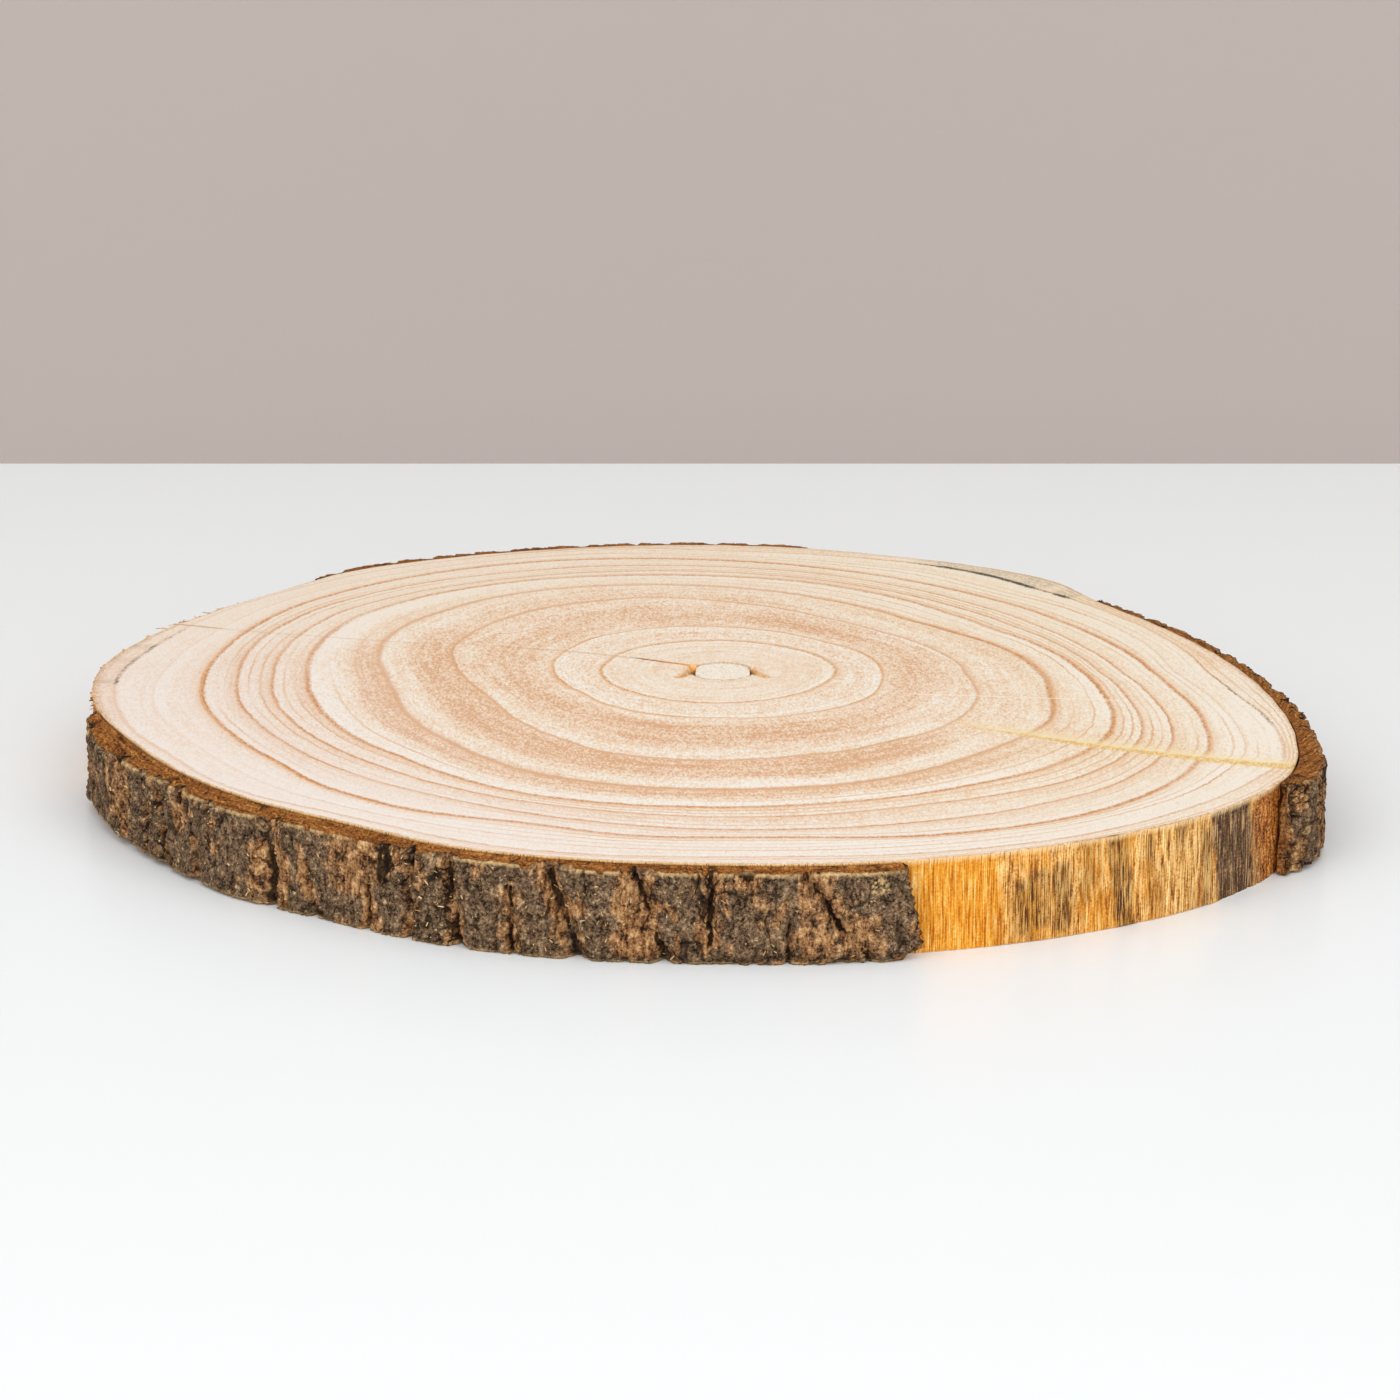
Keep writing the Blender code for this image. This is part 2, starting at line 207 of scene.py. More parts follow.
# A strip of bark: how far its top edge is chipped, how crumbly its cut face is, how far that face is raised in
# millimetres, how much cork shows at its edge at some angles, and the patches of inner bark.
Strip = namedtuple("Strip", "node seed step chips crumble lift edge inner_patches")
STRIPS = (
    Strip("bark_front", 3, 0.42, 1.0, 1.0, 0.0, (
        (193, 0.15), (207, 0.3), (208, 1.0), (212, 1.0), (213, 0.3), (214, 0.9), (215, 0.9), (216, 0.3), (217, 1.0),
        (222, 0.9), (223, 0.3), (226, 0.9), (228, 0.9), (230, 0.3), (233, 0.9), (235, 0.9), (237, 0.35), (247, 0.4),
        (248, 1.0), (254, 1.0), (255, 0.4), (258, 1.0), (262, 1.0), (263, 0.35), (264, 1.0), (268, 1.0), (268.6, 0.4),
        (269, 1.0), (275, 1.0), (276, 0.35), (277, 1.0), (283, 1.0), (284, 0.4)),
        ((205, 209, 8, 26, 0.7), (217, 218.6, 16, 26, 0.8), (227.5, 231, 0, 16, 0.8), (236, 240, 10, 24, 0.75),
         (252, 253.5, 2, 18, 0.5), (261.5, 264, 3, 23, 0.9), (268, 269.5, 6, 20, 0.6), (276, 278, 1, 25, 0.7),
         (279, 282, 3, 12, 0.6))),
    Strip("bark_right", 17, 0.5, 0.3, 0.6, 0.2, ((323, 0.3), (330, 0.5), (396, 0.5)),
          ((321, 323.4, 0, 26, 0.6), (329, 331, 10, 24, 0.5), (352, 356, 0, 20, 0.6), (377, 379, 4, 26, 0.6))),
    Strip("bark_back", 29, 0.5, 0.15, 0.25, 0.3, ((79, 0.4), (140, 0.4)),
          ((79, 83, 0, 26, 0.6), (96, 100, 4, 26, 0.7), (118, 122, 0, 18, 0.7), (133, 140, 0, 26, 0.7))),
)

# A pale spot of dried sap on the front bark: from angle to angle, and from height to height in millimetres.
PALE_SPOT = (281.6, 282.6, 19.5, 23.0)

# Shreds of inner bark left along the bare edge: from angle to angle, how many, and their size in millimetres.
Shreds = namedtuple("Shreds", "start stop count length thickness curl")
SHREDS = (
    Shreds(151, 168, 30, 5.6, 0.42, 0.9),
    Shreds(160, 164, 14, 5.0, 0.5, 1.0),
    Shreds(150.5, 152.5, 5, 1.8, 0.7, 0.3),
    Shreds(166, 192, 60, 2.0, 0.5, 0.4),
    Shreds(141, 150, 14, 1.1, 0.3, 0.4),
    Shreds(91, 95, 7, 2.4, 0.5, 0.5),
    Shreds(64, 66, 3, 1.8, 0.6, 0.3),
)
# Pale slivers caught on the front bark: from angle to angle, and how many.
SLIVERS = ((205, 235, 40), (243, 250, 30), (254, 261, 30), (262, 282, 34))

LENS = 144.0
SENSOR = 36.0
PITCH = 16.0
CAMERA_FROM_PITH = Vector((-0.00642, -1.57433, 0.46862))
BACKDROP_Y = 0.385


def shade(red, green, blue):
    """A screen colour, 0 to 255, as the linear colour that a socket takes."""
    parts = (c / 255 for c in (red, green, blue))
    return tuple(c / 12.92 if c <= 0.04045 else ((c + 0.055) / 1.055) ** 2.4 for c in parts)


def smoothstep(low, high, value):
    share = min(1.0, max(0.0, (value - low) / (high - low)))
    return share * share * (3 - 2 * share)


def window(start, stop, fade, value):
    """1 between start and stop, falling to 0 over the fade outside them."""
    return smoothstep(start - fade, start, value) * (1 - smoothstep(stop, stop + fade, value))


def round_window(start, stop, fade, angle):
    """A window on angles that may pass through 0."""
    if stop - start >= 360:
        return 1.0
    middle = (start + stop) / 2
    near = (angle - middle + 180) % 360 - 180
    return window(start - middle, stop - middle, fade, near)


def along_round(points, angles, soften):
    """Values given at some angles, read at many: straight between them, then softened over soften degrees."""
    known = sorted((a % 360, v) for a, v in points)
    knots = [known[-1][0] - 360] + [a for a, _ in known] + [known[0][0] + 360]
    values = [known[-1][1]] + [v for _, v in known] + [known[0][1]]
    fine = np.arange(0, 360, 0.5)
    line = np.interp(fine, knots, values)
    if soften:
        offsets = np.arange(-40, 41)
        weights = np.exp(-((offsets * 0.5 / soften) ** 2))
        weights /= weights.sum()
        soft = sum(w * np.roll(line, -o) for w, o in zip(weights, offsets, strict=True))
        kink = np.exp(-(((fine - 325) / 5) ** 2))
        line = soft * (1 - kink) + line * kink
    return np.interp(np.asarray(angles) % 360, np.append(fine, 360), np.append(line, line[0]))


def to_line(points, x, y):
    """Signed distance to a broken line, to its left positive, and how far along it the nearest point is, 0 to 1."""
    best, side, place = 1e9, 1.0, 0.0
    count = len(points) - 1
    for k in range(count):
        (ax, ay), (bx, by) = points[k], points[k + 1]
        dx, dy = bx - ax, by - ay
        share = ((x - ax) * dx + (y - ay) * dy) / (dx * dx + dy * dy)
        held = min(1.0, max(0.0, share))
        away = math.hypot(x - ax - held * dx, y - ay - held * dy)
        if away < best:
            best = away
            side = 1.0 if dx * (y - ay) - dy * (x - ax) >= 0 else -1.0
            place = (k + held) / count
    return side * best, place


def tree_of(node):
    """The faces of a CAD node, to be found with rays."""
    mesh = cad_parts[node].data
    return BVHTree.FromPolygons([v.co.copy() for v in mesh.vertices], [tuple(p.vertices) for p in mesh.polygons])


def heading(angle):
    return Vector((math.cos(math.radians(angle)), math.sin(math.radians(angle)), 0.0))


def outer_radius(tree, angle, height):
    """How far from the pith the surface is, looked at from outside; None where nothing is there."""
    way = heading(angle)
    hit = tree.ray_cast(PITH + way * REACH + Vector((0, 0, height)), -way, REACH)
    return None if hit[0] is None else REACH - hit[3]


def inner_radius(tree, angle, height):
    hit = tree.ray_cast(PITH + Vector((0, 0, height)), heading(angle), REACH)
    return None if hit[0] is None else hit[3]


def deselect_all():
    if bpy.context.object and bpy.context.object.mode != "OBJECT":
        bpy.ops.object.mode_set(mode="OBJECT")
    bpy.ops.object.select_all(action="DESELECT")


def held_inside(points):
    """Places eased back where they come near the sides of the frame's box."""
    soft = 1.5 * MM
    limits = np.abs(np.array(CAD_BOX)[1, :2]) - soft
    held = np.array(points)
    over = np.maximum(0.0, np.abs(held[..., :2]) - limits)
    held[..., :2] = np.sign(held[..., :2]) * (np.minimum(np.abs(held[..., :2]), limits) + soft * np.tanh(over / soft))
    return held


def wrapped_grid(name, columns, rows, points, unwrapped, attributes):
    """A flat grid wrapped round a form: points, unwrapped and each attribute hold a value for each column and row.
    Edges that meet are merged, so that the form is closed."""
    deselect_all()
    bpy.ops.mesh.primitive_grid_add(x_subdivisions=columns, y_subdivisions=rows, size=1.0)
    piece = bpy.context.object
    piece.name = name
    mesh = piece.data
    mesh.name = name
    flat = np.empty(len(mesh.vertices) * 3, np.float32)
    mesh.vertices.foreach_get("co", flat)
    flat = flat.reshape(-1, 3)
    column = np.rint((flat[:, 0] + 0.5) * columns).astype(int)
    row = np.rint((flat[:, 1] + 0.5) * rows).astype(int)
    mesh.vertices.foreach_set("co", held_inside(points).astype(np.float32)[column, row].ravel())
    corners = np.empty(len(mesh.loops), np.int32)
    mesh.loops.foreach_get("vertex_index", corners)
    mesh.uv_layers[0].uv.foreach_set("vector", np.asarray(unwrapped, np.float32)[column, row][corners].ravel())
    for key, values in attributes.items():
        attribute = mesh.attributes.new(key, "FLOAT", "POINT")
        attribute.data.foreach_set("value", np.asarray(values, np.float32)[column, row])
    mesh.update()
    bpy.ops.object.mode_set(mode="EDIT")
    bpy.ops.mesh.select_all(action="SELECT")
    bpy.ops.mesh.remove_doubles(threshold=1e-6)
    bpy.ops.mesh.normals_make_consistent(inside=False)
    bpy.ops.object.mode_set(mode="OBJECT")
    bpy.ops.object.shade_smooth()
    return piece


class Net:
    """Short calls that add the nodes of one material or group and join them."""

    def __init__(self, tree):
        self.tree = tree

    def node(self, kind, **settings):
        node = self.tree.nodes.new(kind)
        for key, value in settings.items():
            setattr(node, key, value)
        return node

    def put(self, socket, value):
        if value is None:
            return
        if isinstance(value, bpy.types.NodeSocket):
            self.tree.links.new(value, socket)
        elif isinstance(value, tuple) and len(value) == 3 and socket.type == "RGBA":
            socket.default_value = (*value, 1.0)
        else:
            socket.default_value = value

    def math(self, operation, first, second=None, third=None, clamp=False):
        node = self.node("ShaderNodeMath", operation=operation, use_clamp=clamp)
        for socket, value in zip(node.inputs, (first, second, third), strict=True):
            self.put(socket, value)
        return node.outputs[0]

    def vector(self, operation, first, second=None, scale=None):
        node = self.node("ShaderNodeVectorMath", operation=operation)
        self.put(node.inputs[0], first)
        if second is not None:
            self.put(node.inputs[1], second)
        if scale is not None:
            self.put(node.inputs["Scale"], scale)
        return node.outputs["Value"] if operation in {"LENGTH", "DOT_PRODUCT"} else node.outputs["Vector"]

    def mix(self, share, first, second, blend="MIX"):
        node = self.node("ShaderNodeMix", data_type="RGBA", blend_type=blend)
        self.put(node.inputs[0], share)
        self.put(node.inputs[6], first)
        self.put(node.inputs[7], second)
        return node.outputs[2]

    def step(self, value, low, high):
        """0 at low to 1 at high, eased; low may be the larger."""
        node = self.node("ShaderNodeMapRange", interpolation_type="SMOOTHSTEP")
        self.put(node.inputs[0], value)
        self.put(node.inputs[1], low)
        self.put(node.inputs[2], high)
        return node.outputs[0]

    def noise(self, where, scale, detail=3.0, roughness=0.55, distortion=0.0):
        node = self.node("ShaderNodeTexNoise")
        self.put(node.inputs["Vector"], where)
        self.put(node.inputs["Scale"], scale)
        self.put(node.inputs["Detail"], detail)
        self.put(node.inputs["Roughness"], roughness)
        self.put(node.inputs["Distortion"], distortion)
        return node.outputs[0]

    def cells(self, where):
        """Distance to the nearest border between scattered cells of about one unit."""
        node = self.node("ShaderNodeTexVoronoi", feature="DISTANCE_TO_EDGE")
        self.put(node.inputs["Vector"], where)
        self.put(node.inputs["Scale"], 1.0)
        return node.outputs["Distance"]

    def ramp(self, value, stops):
        node = self.node("ShaderNodeValToRGB")
        points = node.color_ramp.elements
        while len(points) < len(stops):
            points.new(0.5)
        for point, (place, colour) in zip(points, stops, strict=True):
            point.position = place
            point.color = (*colour, 1.0)
        self.put(node.inputs[0], value)
        return node.outputs[0]

    def attribute(self, name):
        return self.node("ShaderNodeAttribute", attribute_name=name).outputs["Fac"]

    def join(self, x, y, z):
        node = self.node("ShaderNodeCombineXYZ")
        for socket, value in zip(node.inputs, (x, y, z), strict=True):
            self.put(socket, value)
        return node.outputs[0]

    def split(self, where):
        node = self.node("ShaderNodeSeparateXYZ")
        self.put(node.inputs[0], where)
        return node.outputs

    def group(self, tree, **values):
        node = self.node("ShaderNodeGroup", node_tree=tree)
        for key, value in values.items():
            self.put(node.inputs[key.replace("_", " ")], value)
        return node.outputs


def new_group(name, inputs, outputs):
    """An empty node group with named sockets; gives the tree, its net, its inputs and the node to end on."""
    tree = bpy.data.node_groups.new(name, "ShaderNodeTree")
    for label, kind, default in inputs:
        socket = tree.interface.new_socket(label, in_out="INPUT", socket_type=kind)
        if default is not None:
            socket.default_value = default
    for label, kind in outputs:
        tree.interface.new_socket(label, in_out="OUTPUT", socket_type=kind)
    net = Net(tree)
    return tree, net, net.node("NodeGroupInput").outputs, net.node("NodeGroupOutput").inputs


def speckle_group():
    """Small dots of two sizes, as pores in cut wood or grit on bark."""
    name = "Speckle"
    if name in bpy.data.node_groups:
        return bpy.data.node_groups[name]
    tree, net, given, out = new_group(
        name,
        (("Where", "NodeSocketVector", None), ("Scale", "NodeSocketFloat", 1500.0), ("Share", "NodeSocketFloat", 0.4)),
        (("Dots", "NodeSocketFloat"), ("Grit", "NodeSocketFloat")),
    )
    fine = net.noise(given["Where"], given["Scale"], 2.0, 0.6)
    coarse = net.noise(given["Where"], net.math("MULTIPLY", given["Scale"], 0.31), 2.0, 0.6)
    limit = net.math("SUBTRACT", 0.78, net.math("MULTIPLY", given["Share"], 0.4))
    net.put(out["Dots"], net.step(fine, limit, net.math("ADD", limit, 0.09)))
    net.put(out["Grit"], net.math("ADD", net.math("MULTIPLY", fine, 0.6), net.math("MULTIPLY", coarse, 0.4)))
    return tree


def streak_group():
    """Grain that runs one way: thin streaks along the second axis of the place given."""
    name = "Streaks"
    if name in bpy.data.node_groups:
        return bpy.data.node_groups[name]
    tree, net, given, out = new_group(
        name,
        (("Where", "NodeSocketVector", None), ("Across", "NodeSocketFloat", 900.0), ("Along", "NodeSocketFloat", 50.0)),
        (("Fine", "NodeSocketFloat"), ("Broad", "NodeSocketFloat")),
    )
    x, y, z = net.split(given["Where"])
    drawn = net.join(net.math("MULTIPLY", x, given["Across"]), net.math("MULTIPLY", y, given["Along"]), z)
    net.put(out["Fine"], net.noise(drawn, 1.0, 3.0, 0.6, 0.3))
    net.put(out["Broad"], net.noise(drawn, 0.22, 3.0, 0.55, 0.6))
    return tree


def new_material(name, roughness, specular):
    """An empty material: its net, its shader and its output are ready."""
    material = bpy.data.materials.new(name)
    material.use_nodes = True
    net = Net(material.node_tree)
    shader = material.node_tree.nodes["Principled BSDF"]
    shader.inputs["Roughness"].default_value = roughness
    shader.inputs["Specular IOR Level"].default_value = specular
    return material, net, shader


def bump(net, shader, height, strength, distance):
    node = net.node("ShaderNodeBump")
    net.put(node.inputs["Strength"], strength)
    net.put(node.inputs["Distance"], distance)
    net.put(node.inputs["Height"], height)
    net.put(shader.inputs["Normal"], node.outputs[0])


def sawn_material(wood):
    """End grain, sawn and sanded: the ring lines follow the growth attribute, the pores gather outside each line."""
    material, net, shader = new_material("sawn end grain", 0.62, 0.3)
    spot = net.node("ShaderNodeTexCoord").outputs["Object"]
    from_pith = net.vector("SUBTRACT", spot, tuple(PITH))
    speckle = net.group(speckle_group(), Where=spot, Scale=950.0, Share=0.46)
    waver = net.math("MULTIPLY", net.math("SUBTRACT", net.noise(spot, 30.0, 2.0), 0.5), 0.16)
    spacing = net.attribute("ring_mm")
    shiver = net.math("DIVIDE", net.math("MULTIPLY", net.math("SUBTRACT", net.noise(spot, 480.0, 3.0, 0.7), 0.5), 2.0), spacing)
    growth = net.math("ADD", net.attribute("growth"), net.math("ADD", waver, shiver))

    def to_nearest(count):
        whole = net.math("MULTIPLY", growth, count)
        off = net.math("ABSOLUTE", net.math("SUBTRACT", whole, net.math("ROUND", whole)))
        return net.math("MULTIPLY", net.math("DIVIDE", off, count), spacing)

    away = to_nearest(1.0)
    width = net.attribute("line_mm")
    strength = net.attribute("line")
    core = net.step(away, net.math("MULTIPLY", width, 0.7), net.math("MULTIPLY", width, 0.1))
    halo = net.step(away, net.math("MULTIPLY", width, 2.2), 0.0)
    past = net.math("FRACT", growth)
    outside = net.step(past, 0.55, 0.4)

    depth = net.attribute("growth")
    def layered(cycles, round_about):
        """Noise in thin layers that follow the rings: cycles to a ring, and how soon it changes along one."""
        lift = net.join(0.0, 0.0, net.math("MULTIPLY", growth, cycles))
        return net.noise(net.vector("ADD", net.vector("SCALE", from_pith, scale=round_about), lift), 1.0, 3.0, 0.62)

    bands = layered(3.2, 9.0)
    threads = layered(9.0, 24.0)
    hairs = layered(24.0, 60.0)
    spoke = net.vector("SCALE", net.vector("NORMALIZE", net.vector("MULTIPLY", from_pith, (1.0, 1.0, 0.0))), scale=70.0)
    rays = net.noise(net.vector("ADD", spoke, net.vector("SCALE", from_pith, scale=14.0)), 1.0, 2.0, 0.7)
    cloud = net.noise(spot, 38.0, 4.0, 0.6)
    weave = net.noise(net.vector("MULTIPLY", spot, (1500.0, 620.0, 400.0)), 1.0, 3.0, 0.7)

    within = net.step(past, 0.3, 0.95)
    grown = net.step(depth, 1.2, 2.4)
    tone = net.math("MULTIPLY_ADD", net.math("MULTIPLY", within, grown), 0.2, 0.42)
    tone = net.math("ADD", tone, net.math("MULTIPLY", net.attribute("tone"), 0.5))

    def waver_tone(tone, field, share):
        return net.math("ADD", tone, net.math("MULTIPLY", net.math("SUBTRACT", field, 0.5), share))

    for field, share in ((bands, 0.5), (threads, 0.8), (hairs, 0.7), (rays, 0.22), (cloud, 0.35),
                         (speckle["Grit"], 0.9), (weave, net.math("MULTIPLY_ADD", net.step(depth, 0.7, 1.3), 1.1, 1.6))):
        tone = waver_tone(tone, field, share)
    colour = net.ramp(tone, (
        (0.0, shade(218, 170, 130)), (0.15, shade(230, 193, 159)), (0.35, shade(237, 207, 177)), (0.55, shade(240, 220, 195)),
        (0.78, shade(243, 232, 215)), (1.0, shade(247, 243, 235))))

    x, y, _ = net.split(from_pith)
    blush = net.math("MULTIPLY", net.step(x, 0.06, -0.14), net.step(depth, 2.5, 7.0))
    colour = net.mix(net.math("MULTIPLY", blush, 0.5), colour, shade(238, 226, 219))
    frosted = net.math("MULTIPLY", net.step(y, -0.07, -0.13), net.step(depth, 5.0, 8.0))
    colour = net.mix(net.math("MULTIPLY", frosted, 0.4), colour, shade(242, 236, 229))
    ambered = net.math("MULTIPLY", net.step(y, -0.02, 0.1), net.step(depth, 2.5, 5.0))
    colour = net.mix(net.math("MULTIPLY", ambered, 0.35), colour, shade(240, 222, 188))
    warm_side = net.math("MULTIPLY", net.step(x, 0.0, 0.12), net.step(depth, 2.0, 4.0))
    colour = net.mix(net.math("MULTIPLY", warm_side, 0.25), colour, shade(242, 226, 192))

    fine_away = to_nearest(3.0)
    outer_zone = net.step(depth, 3.6, 4.6)
    fine_line = net.math("MULTIPLY", net.step(fine_away, 0.6, 0.05), net.math("MULTIPLY", outer_zone, net.step(bands, 0.42, 0.6)))
    stipple = net.step(net.math("MULTIPLY_ADD", weave, 0.65, net.math("MULTIPLY", threads, 0.35)), 0.4, 0.58)
    plain_side = net.math("MULTIPLY", net.step(x, -0.03, -0.1), net.step(depth, 7.9, 8.3))
    fine_line = net.math("MULTIPLY", fine_line, net.math("MULTIPLY_ADD", plain_side, -0.85, 1.0))
    fine_line = net.math("MULTIPLY", fine_line, net.math("MULTIPLY_ADD", stipple, 0.5, 0.25))
    colour = net.mix(net.math("MULTIPLY", fine_line, 1.2, clamp=True), colour, shade(220, 164, 104))

    line = net.math("MULTIPLY", net.math("MULTIPLY", core, strength), net.math("MULTIPLY_ADD", stipple, 0.85, 0.32), clamp=True)
    colour = net.mix(line, colour, net.mix(net.step(depth, 2.8, 1.6), tuple(wood.line_colour), shade(212, 154, 72)))
    near = net.math("MULTIPLY", net.math("MULTIPLY", halo, outside), strength, clamp=True)
    colour = net.mix(net.math("MULTIPLY", near, 0.5), colour, shade(232, 188, 144))
    dots = net.math("MULTIPLY", speckle["Dots"], net.math("MULTIPLY_ADD", near, 0.5, 0.2))
    colour = net.mix(dots, colour, shade(196, 136, 76))

    stained = net.attribute("stain")
    from_outer_line = net.math("MULTIPLY", net.math("SUBTRACT", growth, 10.0), spacing)
    drab = net.math("MULTIPLY", net.math("MULTIPLY", net.step(stained, 0.6, 0.9), net.step(from_outer_line, 0.3, 2.0)), net.step(weave, 0.38, 0.58))
    colour = net.mix(net.math("MULTIPLY", drab, 0.6, clamp=True), colour, shade(176, 160, 126))
    stain_width = net.math("MULTIPLY_ADD", net.step(stained, 0.8, 1.1), 0.7, 1.0)
    stain = net.math("MULTIPLY", net.step(net.math("ABSOLUTE", from_outer_line), stain_width, 0.2), stained)
    stain = net.math("MULTIPLY", stain, net.step(net.math("MULTIPLY_ADD", stained, 0.3, weave), 0.55, 0.85), clamp=True)
    colour = net.mix(net.math("MULTIPLY", stain, 0.95), colour, shade(70, 64, 48))

    seam = net.attribute("seam_mm")
    ragged = net.math("MULTIPLY_ADD", net.math("SUBTRACT", net.noise(spot, 260.0, 3.0), 0.5), 2.4, seam)
    half = net.math("MULTIPLY_ADD", net.attribute("seam_along"), 2.8, 0.8)
    glow = net.math("MULTIPLY", net.step(net.math("DIVIDE", net.math("ABSOLUTE", ragged), half), 1.15, 0.3), net.attribute("seam"))
    spread = net.math("MULTIPLY", net.math("MULTIPLY", net.step(seam, 10.0, 0.5), net.step(seam, -1.5, 0.5)), net.attribute("seam"))
    colour = net.mix(net.math("MULTIPLY", spread, 0.75), colour, shade(246, 228, 180))
    resin = net.mix(net.step(weave, 0.6, 0.42), tuple(wood.resin_colour), shade(222, 176, 100))
    colour = net.mix(net.math("MULTIPLY", glow, 0.85), colour, resin)

    split = net.attribute("split_mm")
    shaky = net.math("MULTIPLY_ADD", net.math("SUBTRACT", net.noise(spot, 300.0, 3.0), 0.5), 1.2, split)
    healed = net.math("MULTIPLY", net.step(net.math("ABSOLUTE", shaky), 1.0, 0.2), net.attribute("split"))
    colour = net.mix(healed, colour, shade(200, 150, 108))
    scratch = net.math("MULTIPLY", net.step(net.math("ABSOLUTE", net.attribute("scratch_mm")), 0.55, 0.15), net.attribute("scratch"))
    colour = net.mix(net.math("MULTIPLY", scratch, 0.7), colour, shade(252, 244, 228))

    crack = net.math("ABSOLUTE", net.math("MULTIPLY_ADD", net.math("SUBTRACT", net.noise(spot, 420.0, 3.0), 0.5), 0.5, net.attribute("crack_mm")))
    crack_along = net.attribute("crack_along")
    bleed = net.math("MULTIPLY", net.step(crack, 1.9, 0.2), net.step(crack_along, 0.55, 0.05))
    colour = net.mix(net.math("MULTIPLY", bleed, net.math("MULTIPLY", net.attribute("crack"), 0.7)), colour, shade(238, 196, 120))
    crack_colour = net.mix(net.step(crack_along, 0.25, 0.7), shade(216, 146, 56), shade(150, 90, 16))
    colour = net.mix(net.math("MULTIPLY", net.step(crack, 1.0, 0.3), net.attribute("crack")), colour, crack_colour)

    torn = net.attribute("torn")
    colour = net.mix(net.math("MULTIPLY", torn, 0.9), colour, net.mix(net.step(weave, 0.4, 0.6), shade(208, 138, 56), shade(240, 182, 92)))
    # Dark brown round the hole and in the tears; on the hole's wall this is painted shade in the gap round the plug.
    dark = net.attribute("dark")
    colour = net.mix(net.math("MULTIPLY", dark, 0.9), colour, shade(114, 66, 14))
    edge = net.math("MULTIPLY", net.attribute("rim"), net.step(speckle["Grit"], 0.3, 0.55))
    colour = net.mix(net.math("MULTIPLY", edge, 0.8), colour, net.mix(net.step(weave, 0.38, 0.55), shade(176, 122, 66), shade(218, 172, 112)))
    net.put(shader.inputs["Base Color"], colour)

    kerf = net.noise(net.join(net.math("MULTIPLY", x, 22.0), net.math("MULTIPLY", y, 900.0), 0.0), 1.0, 2.0, 0.6)
    height = net.math("ADD", net.math("MULTIPLY", speckle["Grit"], 0.7), net.math("MULTIPLY", kerf, 0.35))
    height = net.math("ADD", height, net.math("MULTIPLY", weave, 0.5))
    bump(net, shader, height, 0.3, 0.00022)
    net.put(shader.inputs["Roughness"], net.math("MULTIPLY_ADD", speckle["Grit"], 0.25, 0.5))
    return material


